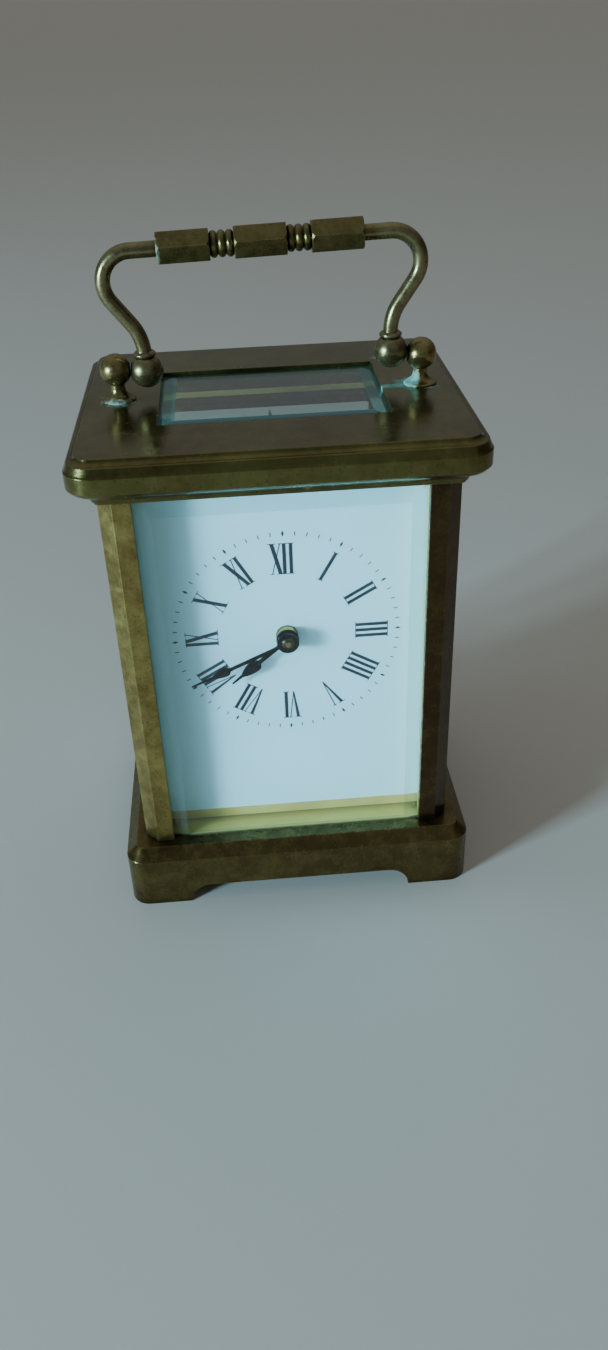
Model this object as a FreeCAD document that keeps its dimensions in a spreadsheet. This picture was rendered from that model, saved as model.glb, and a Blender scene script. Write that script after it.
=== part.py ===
import FreeCAD, Part
import math
import os
import re

from FreeCAD import Placement, Rotation, Vector
import Sketcher

# A carriage clock in a bevelled-glass brass case. Millimetres, +Z up, +Y to the back,
# origin under the middle of the base.

doc = FreeCAD.newDocument("carriage_clock")
sheet = doc.addObject("Spreadsheet::Sheet", "sizes")
SIZES = {}
NODES = []


def size(alias, number, note):
    """Write one driving dimension into the sheet."""
    row = len(SIZES) + 1
    sheet.set("A%d" % row, note)
    sheet.set("B%d" % row, str(number))
    sheet.setAlias("B%d" % row, alias)
    SIZES[alias] = number


# Base
size("base_width", 82, "plinth, side to side")
size("base_depth", 71, "plinth, front to back")
size("base_height", 15.8, "underside of the feet to the deck")
size("base_corner", 4.5, "radius of the plinth's upright corners")
size("base_chamfer", 2.6, "chamfer round the deck")
size("base_wall", 4, "wall of the hollow plinth")
size("deck_thick", 4.5, "deck plate of the plinth")
size("foot_length", 14.6, "each bracket foot along its side")
size("foot_rise", 4.9, "height of the arch between two feet")

# Pillars and glasses
size("pillar_out_x", 36.2, "middle of the case to a pillar's outer side")
size("pillar_out_y", 30.7, "middle of the case to a pillar's front or back")
size("pillar_side", 6.8, "square section of a pillar")
size("pillar_chamfer", 3.0, "chamfer on a pillar's outer corner")
size("pillar_height", 87, "deck to the underside of the cornice")
size("tenon_radius", 1.8, "tenon on top of a pillar")
size("tenon_length", 4.5, "tenon above the pillar's shoulder")
size("glass_thick", 1.6, "plate glass")
size("glass_edge", 0.7, "glass left at the outer edge of the bevel")
size("glass_inset", 0.9, "glass behind the face of the pillars")
size("glass_play", 0.05, "gap each side of a glass in its groove")
size("pillar_groove", 1.6, "depth of a glass groove in a pillar")
size("deck_groove", 2.0, "depth of a glass groove in the deck")
size("cornice_groove", 1.4, "depth of a glass groove in the cornice")
size("bevel_side", 3.5, "bevel seen along a pillar")
size("bevel_top", 4.0, "bevel seen under the cornice")
size("bevel_foot", 1.5, "bevel seen above the deck")

# Cornice and top glass
size("cornice_half_x", 41.4, "middle to the lip, sideways")
size("cornice_half_y", 35.8, "middle to the lip, front and back")
size("cornice_corner", 6.0, "radius of the lip's corners")
size("cornice_height", 10.2, "underside to the flat top")
size("cornice_neck", 5.0, "lip outside the foot of the moulding")
size("recess_x", 28.3, "half width of the recess under the cornice")
size("recess_y", 23.2, "half depth of the recess under the cornice")
size("recess_roof", 3.2, "brass left above the recess")
size("top_open_x", 23.7, "half width of the top opening")
size("top_open_y", 17.0, "half depth of the top opening")
size("top_ledge", 1.0, "ledge over the edge of the top glass")
size("top_lip", 2.3, "glass hidden under the ledge")
size("top_bevel", 3.4, "bevel of the top glass inside the ledge")
size("top_drop", 1.0, "fall of the top glass over its whole bevel")
size("retainer_thick", 1.2, "plate under the top glass")

# Door
size("door_thick", 3.4, "door frame, front to back")
size("door_back", 30.3, "middle of the case to the back of the door")
size("door_gap", 0.3, "gap round the door")
size("door_stile", 4.4, "width of the door's frame")
size("door_lip", 1.5, "glass hidden in the door's rebate")
size("hinge_radius", 0.8, "hinge pin")
size("hinge_depth", 2.4, "hinge pin in the deck and in the cornice")
size("hinge_bite", 2.9, "hinge pin in the door")
size("knob_height", 59.5, "underside of the feet to the knob")
size("knob_radius", 2.2, "knob on the door")
size("knob_length", 4.6, "knob behind the door")

# Handle
size("pivot_height", 6.4, "cornice top to the handle's axis")
size("finial_x", 32.1, "middle to a finial")
size("finial_radius", 3.3, "ball of a finial")
size("finial_foot", 3.5, "spread foot under a finial")
size("finial_neck", 1.5, "waist of a finial")
size("finial_stud", 1.5, "stud of a finial in the cornice")
size("stud_length", 4.8, "length of a finial's stud")
size("ball_x", 25.7, "middle to a ball of the handle")
size("ball_radius", 3.5, "ball of the handle")
size("ball_meet", 28.975, "middle to the plane between the balls")
size("ball_gap", 0.15, "gap between finial and handle ball")
size("pin_radius", 1.1, "pivot pin of the handle")
size("pin_bite", 5.2, "pivot pin inside the handle's ball")
size("arm_radius", 1.55, "round bar of the handle")
size("arm_lean", 54, "degrees, slope of the straight part of the bar")
size("arm_bend", 6.0, "radius of the bend at the shoulder")
size("arm_foot_bend", 10.0, "radius of the bend above the ball")
size("handle_tilt", 1.5, "degrees, lean of the bent handle to the left")
size("handle_lift", 0.25, "middle of the balls above the handle's axis")
size("grip_rise", 23.7, "middle of the balls to the middle of the grip")
size("grip_half", 20.5, "middle to the end of the grip")
size("grip_corner", 3.45, "middle of the grip to a corner of the hexagon")
size("grip_turn", 12, "degrees, front corner of the hexagon above level")
size("grip_core", 1.9, "grip between the beads")
size("bead_start", 5.2, "middle to the inner bead")
size("bead_end", 10.1, "middle to the end of the beads")
size("spigot_radius", 1.2, "bar's spigot in the grip")
size("spigot_length", 3.0, "length of that spigot")

# Dial and hands
size("dial_front", 23.5, "middle of the case to the face of the dial")
size("dial_thick", 0.7, "enamel dial")
size("dial_half", 30.5, "half width of the dial")
size("dial_low", 19.0, "bottom of the dial")
size("dial_high", 101.5, "top of the dial")
size("backing_thick", 0.6, "brass plate behind the dial")
size("centre_height", 66.7, "underside of the feet to the centre arbor")
size("dial_hole", 2.45, "hole in the dial")
size("hour_boss", 2.3, "shoulder of the hour wheel's pipe")
size("collet_radius", 1.35, "domed collet of the minute hand")
size("collet_bush", 1.2, "collet inside the minute hand")
size("hand_thick", 0.35, "steel of the hands")
size("minute_length", 23.7, "minute hand")
size("hour_length", 16.5, "hour hand")
size("minute_turn", 246, "degrees clockwise from noon")
size("hour_turn", 230.5, "degrees clockwise from noon")
size("hour_plane", 25.7, "middle of the case to the front of the hour hand")
size("minute_plane", 27.2, "middle of the case to the front of the minute hand")

# Movement
size("plate_thick", 2.2, "front and back plates")
size("plate_half", 26, "half width of the plates")
size("plate_front", 18.7, "middle of the case to the front plate's face")
size("plate_space", 28, "between the plates")
size("plate_height", 75.2, "deck to the top of the plates")
size("post_x", 22, "middle to a movement pillar")
size("post_low", 6.4, "deck to the lower movement pillars")
size("post_high", 69.8, "deck to the upper movement pillars")
size("post_radius", 2.3, "movement pillar")
size("pivot_play", 0.04, "clearance round a running pivot")
size("fixed_play", 0.02, "clearance round a fixed spigot")
size("pivot_radius", 0.5, "pivots of the train")

# Train
size("barrel_teeth", 84, "teeth of the great wheel")
size("centre_leaves", 12, "leaves of the centre pinion")
size("great_module", 0.42, "module of barrel and centre pinion")
size("barrel_turn", 197.3, "degrees clockwise from up, centre to barrel")
size("barrel_radius", 16.2, "outside of the barrel")
size("barrel_wall", 1.0, "wall of the barrel")
size("barrel_arbor", 2.0, "arbor in the barrel")
size("centre_teeth", 80, "teeth of the centre wheel")
size("third_leaves", 10, "leaves of the third pinion")
size("centre_module", 0.3, "module of centre wheel and third pinion")
size("third_teeth", 75, "teeth of the third wheel")
size("contrate_leaves", 10, "leaves of the contrate pinion")
size("third_module", 0.28, "module of third wheel and contrate pinion")
size("contrate_rise", 14.6, "centre arbor to the contrate arbor")
size("contrate_teeth", 80, "teeth of the contrate wheel")
size("escape_leaves", 8, "leaves of the escape pinion")
size("escape_module", 0.2, "module of contrate and escape pinion")
size("escape_y", 0.3, "escape arbor behind the middle of the case")
size("escape_radius", 3.0, "tips of the escape wheel")
size("escape_teeth", 15, "teeth of the escape wheel")
size("cannon_leaves", 12, "leaves of the cannon pinion")
size("minute_teeth", 36, "teeth of the minute wheel")
size("cannon_module", 0.25, "module of cannon pinion and minute wheel")
size("minute_leaves", 10, "leaves of the minute wheel's pinion")
size("hour_teeth", 40, "teeth of the hour wheel")
size("minute_wheel_turn", 140, "degrees clockwise from up, centre to minute wheel")
size("ratchet_teeth", 24, "teeth of the ratchet wheel")
size("ratchet_radius", 7.0, "tips of the ratchet wheel")
size("square_half", 1.4, "half width of the winding square")

# Platform
size("platform_half", 13, "half width of the platform")
size("platform_thick", 1.4, "platform plate")
size("pallet_reach", 3.66, "escape arbor to pallet arbor")
size("balance_reach", 3.44, "pallet arbor to balance staff")
size("balance_radius", 6.4, "outside of the balance rim")
doc.recompute()


def bound(expression):
    """Expression with each alias spelled as a cell of the sheet."""
    return re.sub(r"[a-z]+(?:_[a-z]+)+", lambda word: "sizes." + word.group(0)
                  if word.group(0) in SIZES else word.group(0), str(expression))


def value(expression):
    """The number an expression gives now."""
    return float(sheet.evalExpression(bound(expression)))


def node(label, x="0", y="0", z="0", axis=None, degrees="0"):
    """New body, one sub-part, placed by expressions."""
    made = doc.addObject("PartDesign::Body", label)
    made.Label = label
    if axis is not None:
        made.Placement = Placement(Vector(), Rotation(axis, value(degrees)))
    for letter, expression in (("x", x), ("y", y), ("z", z)):
        made.setExpression("Placement.Base." + letter, bound(expression))
    NODES.append(made)
    return made


def origin_item(owner, role):
    """Plane or axis of a body's own origin."""
    return [item for item in owner.Origin.OriginFeatures if item.Role == role][0]


def pin(rules, names, item, end, x, y):
    """Hold one end of an edge at a named place."""
    for kind, axis, expression in (("DistanceX", -2, x), ("DistanceY", -1, y)):
        if str(expression) == "0":
            rules.append(Sketcher.Constraint("PointOnObject", item, end, axis))
            names.append(None)
        else:
            rules.append(Sketcher.Constraint(kind, -1, 1, item, end, value(expression)))
            names.append(expression)


def edge_between(start, stop):
    """Line or arc from one corner to the next, and which end of it comes first."""
    first = Vector(value(start[0]), value(start[1]), 0)
    last = Vector(value(stop[0]), value(stop[1]), 0)
    if len(start) == 2:
        return Part.LineSegment(first, last), 1
    radius, hand = value(start[2]), start[3]
    chord = last - first
    middle = (first + last) * 0.5
    rise = math.sqrt(max(radius ** 2 - chord.Length ** 2 / 4, 0))
    left = Vector(-chord.y, chord.x, 0).normalize()
    centre = middle + left * (rise if hand == "left" else -rise)
    ends = [math.atan2(point.y - centre.y, point.x - centre.x) for point in (first, last)]
    if hand == "right":
        ends.reverse()
    circle = Part.Circle(centre, Vector(0, 0, 1), radius)
    return Part.ArcOfCircle(circle, ends[0], ends[1]), 1 if hand == "left" else 2


def draw(made, loop, closed=True):
    """Draw one loop with every corner held by a size."""
    count = made.GeometryCount
    rules = []
    names = []
    if loop[0] == "circle":
        centre = Vector(value(loop[1]), value(loop[2]), 0)
        made.addGeometry([Part.Circle(centre, Vector(0, 0, 1), value(loop[3]))], False)
        pin(rules, names, count, 3, loop[1], loop[2])
        rules.append(Sketcher.Constraint("Radius", count, value(loop[3])))
        names.append(loop[3])
    else:
        shapes = []
        firsts = []
        steps = len(loop) if closed else len(loop) - 1
        for index in range(steps):
            shape, first = edge_between(loop[index], loop[(index + 1) % len(loop)])
            shapes.append(shape)
            firsts.append(first)
        made.addGeometry(shapes, False)
        for index in range(steps):
            item = count + index
            pin(rules, names, item, firsts[index], loop[index][0], loop[index][1])
            if len(loop[index]) > 2:
                rules.append(Sketcher.Constraint("Radius", item, value(loop[index][2])))
                names.append(loop[index][2])
            if closed or index + 1 < steps:
                after = (index + 1) % steps
                rules.append(Sketcher.Constraint("Coincident", item, 3 - firsts[index],
                                                 count + after, firsts[after]))
                names.append(None)
            else:
                pin(rules, names, item, 3 - firsts[index], loop[-1][0], loop[-1][1])
    base = made.ConstraintCount
    made.addConstraint(rules)
    for index, expression in enumerate(names):
        if expression is not None:
            made.setExpression("Constraints[%d]" % (base + index), bound(expression))


def sketch(owner, plane, loops, lift="0", closed=True):
    """Sketch on one of the body's origin planes, lifted along its normal."""
    made = owner.newObject("Sketcher::SketchObject", "outline")
    made.AttachmentSupport = (origin_item(owner, plane + "_Plane"), [""])
    made.MapMode = "FlatFace"
    made.setExpression("AttachmentOffset.Base.z", bound(lift))
    for loop in loops:
        draw(made, loop, closed)
    return made


def add(owner, plane, loops, low, high):
    """Pad between two levels along the plane's axis."""
    lift = "-(%s)" % high if plane == "XZ" else low
    made = owner.newObject("PartDesign::Pad", "pad")
    made.Profile = sketch(owner, plane, loops, lift)
    made.setExpression("Length", bound("(%s) - (%s)" % (high, low)))
    made.Refine = False
    return made


def cut(owner, plane, loops, low, high):
    """Pocket between two levels along the plane's axis."""
    lift = "-(%s)" % low if plane == "XZ" else high
    made = owner.newObject("PartDesign::Pocket", "pocket")
    made.Profile = sketch(owner, plane, loops, lift)
    made.setExpression("Length", bound("(%s) - (%s)" % (high, low)))
    made.Refine = False
    return made


def turn(owner, axis, loop, remove=False):
    """Turned part about a local axis: corners are (radius, along), along X (along, radius)."""
    plane = "XZ" if axis == "Z" else "XY"
    kind = "Groove" if remove else "Revolution"
    made = owner.newObject("PartDesign::" + kind, "turned")
    profile = sketch(owner, plane, [loop])
    made.Profile = profile
    made.ReferenceAxis = (profile, ["H_Axis" if axis == "X" else "V_Axis"])
    made.Angle = 360
    made.Refine = False
    return made


def repeat(owner, feature, axis, count):
    """The same feature all round an axis."""
    made = owner.newObject("PartDesign::PolarPattern", "round")
    made.Originals = [feature]
    made.Axis = (origin_item(owner, axis + "_Axis"), [""])
    made.Angle = 360
    made.setExpression("Occurrences", bound(count))
    made.Refine = False
    owner.Tip = made
    return made


def box(low_x, high_x, low_y, high_y):
    """Rectangle between two pairs of levels."""
    return [(low_x, low_y), (high_x, low_y), (high_x, high_y), (low_x, high_y)]


def middle_box(half_x, half_y):
    """Rectangle about the origin."""
    return box("-(%s)" % half_x, half_x, "-(%s)" % half_y, half_y)


def rounded_box(half_x, half_y, corner):
    """Rectangle about the origin with round corners."""
    near_x, near_y = "(%s) - (%s)" % (half_x, corner), "(%s) - (%s)" % (half_y, corner)
    return [("-(%s)" % near_x, "-(%s)" % half_y), (near_x, "-(%s)" % half_y, corner, "left"),
            (half_x, "-(%s)" % near_y), (half_x, near_y, corner, "left"),
            (near_x, half_y), ("-(%s)" % near_x, half_y, corner, "left"),
            ("-(%s)" % half_x, near_y), ("-(%s)" % half_x, "-(%s)" % near_y, corner, "left")]


def mirror(side, expression):
    """The expression on the left (-1) or right (1) side."""
    return expression if side > 0 else "-(%s)" % expression


def top_edges(feature, level):
    """Names of the edges lying at one height."""
    doc.recompute()
    names = []
    for index, edge in enumerate(feature.Shape.Edges):
        if edge.BoundBox.ZMin > level - 0.001 and edge.BoundBox.ZMax < level + 0.001:
            names.append("Edge%d" % (index + 1))
    return names


def group(label, solids):
    """Several separate solids kept as one sub-part."""
    made = doc.addObject("Part::Feature", label)
    made.Label = label
    made.Shape = Part.makeCompound(solids)
    made.Placement = Placement()
    NODES.append(made)
    return made


def screw(head_radius, head_height, shank_radius, shank_length):
    """Slotted cheese-head screw, head up, shank down from the origin."""
    solid = Part.makeCylinder(head_radius, head_height)
    rim = [edge for edge in solid.Edges
           if edge.BoundBox.ZMin > head_height / 2 and edge.BoundBox.XLength > head_radius]
    solid = solid.makeChamfer(head_height / 5, rim)
    slot = Part.makeBox(head_radius * 2.2, head_radius * 0.3, head_height * 0.5,
                        Vector(-head_radius * 1.1, -head_radius * 0.15, head_height * 0.6))
    shank = Part.makeCylinder(shank_radius, shank_length, Vector(0, 0, -shank_length))
    return solid.cut(slot).fuse(shank)


def at(solid, x, y, z, up=Vector(0, 0, 1), spin=0):
    """Copy of a solid with its +Z turned to a direction, standing at a point."""
    copy = solid.copy()
    rotation = Rotation(Vector(0, 0, 1), up).multiply(Rotation(Vector(0, 0, 1), spin))
    copy.Placement = Placement(Vector(x, y, z), rotation)
    return copy


def spiral(inner, outer, turns, thickness, low, high):
    """Flat coiled strip about Z between two heights."""
    walls = []
    for shift in (-thickness / 2, thickness / 2):
        points = []
        steps = int(turns * 16)
        for index in range(steps + 1):
            angle = 2 * math.pi * turns * index / steps
            radius = inner + (outer - inner) * index / steps + shift
            points.append(Vector(radius * math.cos(angle), radius * math.sin(angle), low))
        curve = Part.BSplineCurve()
        curve.interpolate(points)
        walls.append((curve.toShape(), points[0], points[-1]))
    caps = [Part.makeLine(walls[0][index], walls[1][index]) for index in (1, 2)]
    wire = Part.Wire(Part.__sortEdges__([walls[0][0], caps[1], walls[1][0], caps[0]]))
    return Part.Face(wire).extrude(Vector(0, 0, high - low))


# ---------------------------------------------------------------- case
CORNICE_FOOT = "(base_height + pillar_height)"
CORNICE_TOP = "(base_height + pillar_height + cornice_height)"
PILLAR_IN_X = "(pillar_out_x - pillar_side)"
PILLAR_IN_Y = "(pillar_out_y - pillar_side)"
PILLAR_MID_X = "(pillar_out_x - pillar_side / 2)"
PILLAR_MID_Y = "(pillar_out_y - pillar_side / 2)"
DECK_UNDER = "(base_height - deck_thick)"
HINGE_X = "(pillar_out_x - pillar_side - door_gap - door_thick / 2)"
HINGE_Y = "(door_back - door_thick / 2)"
PILLARS = [(side_x, side_y) for side_x in (-1, 1) for side_y in (-1, 1)]


def glass_grooves(owner, low, high):
    """Grooves for the front and side glasses cut between two heights."""
    outer = "(glass_inset - glass_play)"
    inner = "(glass_inset + glass_thick + glass_play)"
    reach_x = "(%s + pillar_groove)" % PILLAR_IN_X
    reach_y = "(%s + pillar_groove)" % PILLAR_IN_Y
    front = box("-" + reach_x, reach_x,
                "-(pillar_out_y - %s)" % outer, "-(pillar_out_y - %s)" % inner)
    loops = [front]
    for side in (-1, 1):
        loops.append(box(mirror(side, "(pillar_out_x - %s)" % inner),
                         mirror(side, "(pillar_out_x - %s)" % outer), "-" + reach_y, reach_y))
    for loop in loops:
        cut(owner, "XY", [loop], low, high)


def arch(half):
    """Opening between two bracket feet, seen along the wall."""
    return [("-(%s)" % half, "-1"), (half, "-1"), (half, "0", "foot_rise", "left"),
            ("%s - foot_rise" % half, "foot_rise"),
            ("-(%s - foot_rise)" % half, "foot_rise", "foot_rise", "left"),
            ("-(%s)" % half, "0")]


def base_plinth():
    """Hollow plinth on four bracket feet."""
    body = node("base_plinth")
    block = add(body, "XY", [rounded_box("base_width / 2", "base_depth / 2", "base_corner")],
                "0", "base_height")
    bevel = body.newObject("PartDesign::Chamfer", "chamfer")
    bevel.Base = (block, top_edges(block, value("base_height")))
    bevel.setExpression("Size", bound("base_chamfer"))
    cut(body, "XY", [middle_box("base_width / 2 - base_wall", "base_depth / 2 - base_wall")],
        "-1", DECK_UNDER)
    half_x = "(base_width / 2 - foot_length)"
    half_y = "(base_depth / 2 - foot_length)"
    cut(body, "XZ", [arch(half_x)], "-base_depth / 2 - 1", "base_depth / 2 + 1")
    cut(body, "YZ", [arch(half_y)], "-base_width / 2 - 1", "base_width / 2 + 1")
    glass_grooves(body, "base_height - deck_groove", "base_height")
    hinge = ("circle", HINGE_X, HINGE_Y, "hinge_radius + fixed_play")
    cut(body, "XY", [hinge], "base_height - hinge_depth", "base_height")
    for side_x, side_y in PILLARS:
        place = ("circle", mirror(side_x, PILLAR_MID_X), mirror(side_y, PILLAR_MID_Y), "1.1")
        cut(body, "XY", [place], DECK_UNDER + " - 0.5", "base_height")
    for side in (-1, 1):
        place = ("circle", mirror(side, "post_x"), "plate_space / 2 - plate_front + plate_thick",
                 "1.2")
        cut(body, "XY", [place], DECK_UNDER + " - 0.5", "base_height")


def pillar(label, side_x, side_y):
    """Square pillar with its outer corner chamfered and grooves for the glasses."""
    body = node(label)
    corner = [(PILLAR_IN_X, PILLAR_IN_Y), ("pillar_out_x", PILLAR_IN_Y),
              ("pillar_out_x", "pillar_out_y - pillar_chamfer"),
              ("pillar_out_x - pillar_chamfer", "pillar_out_y"), (PILLAR_IN_X, "pillar_out_y")]
    outline = [(mirror(side_x, x), mirror(side_y, y)) for x, y in corner]
    add(body, "XY", [outline], "base_height", CORNICE_FOOT)
    middle_x, middle_y = mirror(side_x, PILLAR_MID_X), mirror(side_y, PILLAR_MID_Y)
    add(body, "XY", [("circle", middle_x, middle_y, "tenon_radius")],
        CORNICE_FOOT + " - 1", CORNICE_FOOT + " + tenon_length")
    outer = "(glass_inset - glass_play)"
    inner = "(glass_inset + glass_thick + glass_play)"
    side_groove = box(mirror(side_x, "(pillar_out_x - %s)" % inner),
                      mirror(side_x, "(pillar_out_x - %s)" % outer),
                      mirror(side_y, "(%s - 1)" % PILLAR_IN_Y),
                      mirror(side_y, "(%s + pillar_groove)" % PILLAR_IN_Y))
    cut(body, "XY", [side_groove], "base_height - 1", CORNICE_FOOT)
    if side_y < 0:
        front_groove = box(mirror(side_x, "(%s - 1)" % PILLAR_IN_X),
                           mirror(side_x, "(%s + pillar_groove)" % PILLAR_IN_X),
                           "-(pillar_out_y - %s)" % outer, "-(pillar_out_y - %s)" % inner)
        cut(body, "XY", [front_groove], "base_height - 1", CORNICE_FOOT)
    cut(body, "XY", [("circle", middle_x, middle_y, "0.95")], "base_height - 1",
        "base_height + 9")


def deck_screws():
    """Screws up through the deck into the pillars and the lower movement pillars."""
    solid = screw(2.1, 1.4, 0.9, value("deck_thick") + 7)
    solids = [at(solid, side_x * value(PILLAR_MID_X), side_y * value(PILLAR_MID_Y),
                 value(DECK_UNDER), Vector(0, 0, -1), 25 * side_x) for side_x, side_y in PILLARS]
    holding = screw(2.1, 1.4, 1.0, value("deck_thick + post_low") - 0.6)
    reach = value("plate_space / 2 - plate_front + plate_thick")
    solids += [at(holding, side * value("post_x"), reach, value(DECK_UNDER), Vector(0, 0, -1), 15)
               for side in (-1, 1)]
    group("deck_screws", solids)


def cornice():
    """Moulded top with a recess below and an opening for the top glass."""
    body = node("cornice")
    add(body, "XY", [rounded_box("cornice_half_x - cornice_neck", "cornice_half_y - cornice_neck",
                                 "cornice_corner - cornice_neck")], CORNICE_FOOT, CORNICE_TOP)
    path = sketch(body, "XY", [rounded_box("cornice_half_x", "cornice_half_y", "cornice_corner")],
                  CORNICE_FOOT)
    # moulding: steps in from the lip against height above the foot
    moulding = [("5.4", "0"), ("5.0", "0"), ("5.0", "0.4"), ("4.5", "0.6"),
                ("4.3", "1.1", "3.2", "right"), ("2.6", "2.5", "3.2", "left"), ("0.25", "3.7"),
                ("0", "4.0"), ("0", "7.2"), ("0.25", "7.55"), ("0.9", "9.0"),
                ("1.15", "9.1", "1.5", "right"), ("2.6", "cornice_height"),
                ("5.4", "cornice_height")]
    outline = []
    for corner in moulding:
        outline.append(("cornice_half_x - %s" % corner[0],
                        "%s + %s" % (CORNICE_FOOT, corner[1])) + tuple(corner[2:]))
    sweep = body.newObject("PartDesign::AdditivePipe", "moulding")
    sweep.Profile = sketch(body, "XZ", [outline])
    sweep.Spine = (path, [])
    sweep.Mode = "Frenet"
    sweep.Refine = False
    roof = CORNICE_TOP + " - recess_roof"
    cut(body, "XY", [middle_box("recess_x", "recess_y")], CORNICE_FOOT, roof)
    cut(body, "XY", [middle_box("(top_open_x + top_lip + 0.2)", "(top_open_y + top_lip + 0.2)")],
        roof + " - 0.5", CORNICE_TOP + " - top_ledge")
    cut(body, "XY", [middle_box("top_open_x", "top_open_y")],
        CORNICE_TOP + " - top_ledge - 0.5", CORNICE_TOP)
    glass_grooves(body, CORNICE_FOOT, CORNICE_FOOT + " + cornice_groove")
    hinge = ("circle", HINGE_X, HINGE_Y, "hinge_radius + fixed_play")
    cut(body, "XY", [hinge], CORNICE_FOOT, CORNICE_FOOT + " + hinge_depth + 0.2")
    for side_x, side_y in PILLARS:
        tenon = ("circle", mirror(side_x, PILLAR_MID_X), mirror(side_y, PILLAR_MID_Y),
                 "tenon_radius + fixed_play")
        cut(body, "XY", [tenon], CORNICE_FOOT, CORNICE_FOOT + " + tenon_length + 0.2")
        thread = ("circle", mirror(side_x, RETAINER_X), mirror(side_y, RETAINER_Y), "0.65")
        cut(body, "XY", [thread], roof, roof + " + 1.9")
    for side in (-1, 1):
        stud = ("circle", mirror(side, "finial_x"), "0", "finial_stud + fixed_play")
        cut(body, "XY", [stud], CORNICE_TOP + " - stud_length - 0.2", CORNICE_TOP)


RETAINER_X = "(top_open_x + top_lip + 1.2)"
RETAINER_Y = "(top_open_y + top_lip + 1.9)"


def bevelled(body, plane, outer, foot, inner, back, step, face):
    """Flat slab of glass and the bevel that rises on it from its foot to its face."""
    slab = sorted((back, step), key=value)
    add(body, plane, [outer], slab[0], slab[1])
    loft = body.newObject("PartDesign::AdditiveLoft", "bevel")
    sign = "-" if plane == "XZ" else ""
    loft.Profile = sketch(body, plane, [foot], "%s(%s)" % (sign, step))
    loft.Sections = [sketch(body, plane, [inner], "%s(%s)" % (sign, face))]
    loft.Ruled = True
    loft.Refine = False


def glasses():
    """Front, side and top glasses."""
    low = "(base_height - deck_groove + glass_play)"
    high = "(%s + cornice_groove - glass_play)" % CORNICE_FOOT
    face_low = "base_height + bevel_foot"
    face_high = CORNICE_FOOT + " - bevel_top"
    edge_x = "(%s + pillar_groove - glass_play)" % PILLAR_IN_X
    edge_y = "(%s + pillar_groove - glass_play)" % PILLAR_IN_Y
    face_x = "(%s - bevel_side)" % PILLAR_IN_X
    face_y = "(%s - bevel_side)" % PILLAR_IN_Y
    rear = "(glass_inset + glass_thick)"
    edge = box("-" + edge_x, edge_x, low, high)
    bevelled(node("front_glass"), "XZ", edge, edge,
             box("-" + face_x, face_x, face_low, face_high),
             "-(pillar_out_y - %s)" % rear, "-(pillar_out_y - %s + glass_edge)" % rear,
             "-(pillar_out_y - glass_inset)")
    for label, side in (("left_glass", -1), ("right_glass", 1)):
        edge = box("-" + edge_y, edge_y, low, high)
        bevelled(node(label), "YZ", edge, edge,
                 box("-" + face_y, face_y, face_low, face_high),
                 mirror(side, "(pillar_out_x - %s)" % rear),
                 mirror(side, "(pillar_out_x - %s + glass_edge)" % rear),
                 mirror(side, "(pillar_out_x - glass_inset)"))
    bottom = CORNICE_TOP + " - recess_roof + fixed_play"
    top = "(%s - top_ledge + top_drop * top_bevel / (top_bevel + top_lip) - fixed_play)" % CORNICE_TOP
    edge = middle_box("(top_open_x + top_lip)", "(top_open_y + top_lip)")
    bevelled(node("top_glass"), "XY", edge, edge,
             middle_box("(top_open_x - top_bevel)", "(top_open_y - top_bevel)"),
             bottom, top + " - top_drop", top)


def top_glass_retainer():
    """Plate that holds the top glass up against its ledge."""
    body = node("top_glass_retainer")
    roof = CORNICE_TOP + " - recess_roof"
    holes = [("circle", mirror(side_x, RETAINER_X), mirror(side_y, RETAINER_Y), "0.7")
             for side_x, side_y in PILLARS]
    add(body, "XY", [middle_box("recess_x - 0.2", "recess_y - 0.2"),
                     middle_box("top_open_x - 1", "top_open_y - 1")] + holes,
        roof + " - retainer_thick", roof)
    solid = screw(1.1, 0.8, 0.6, value("retainer_thick") + 1.6)
    level = value(roof + " - retainer_thick")
    group("retainer_screws", [at(solid, side_x * value(RETAINER_X), side_y * value(RETAINER_Y),
                                 level, Vector(0, 0, -1), 40 * side_y)
                              for side_x, side_y in PILLARS])


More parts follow.
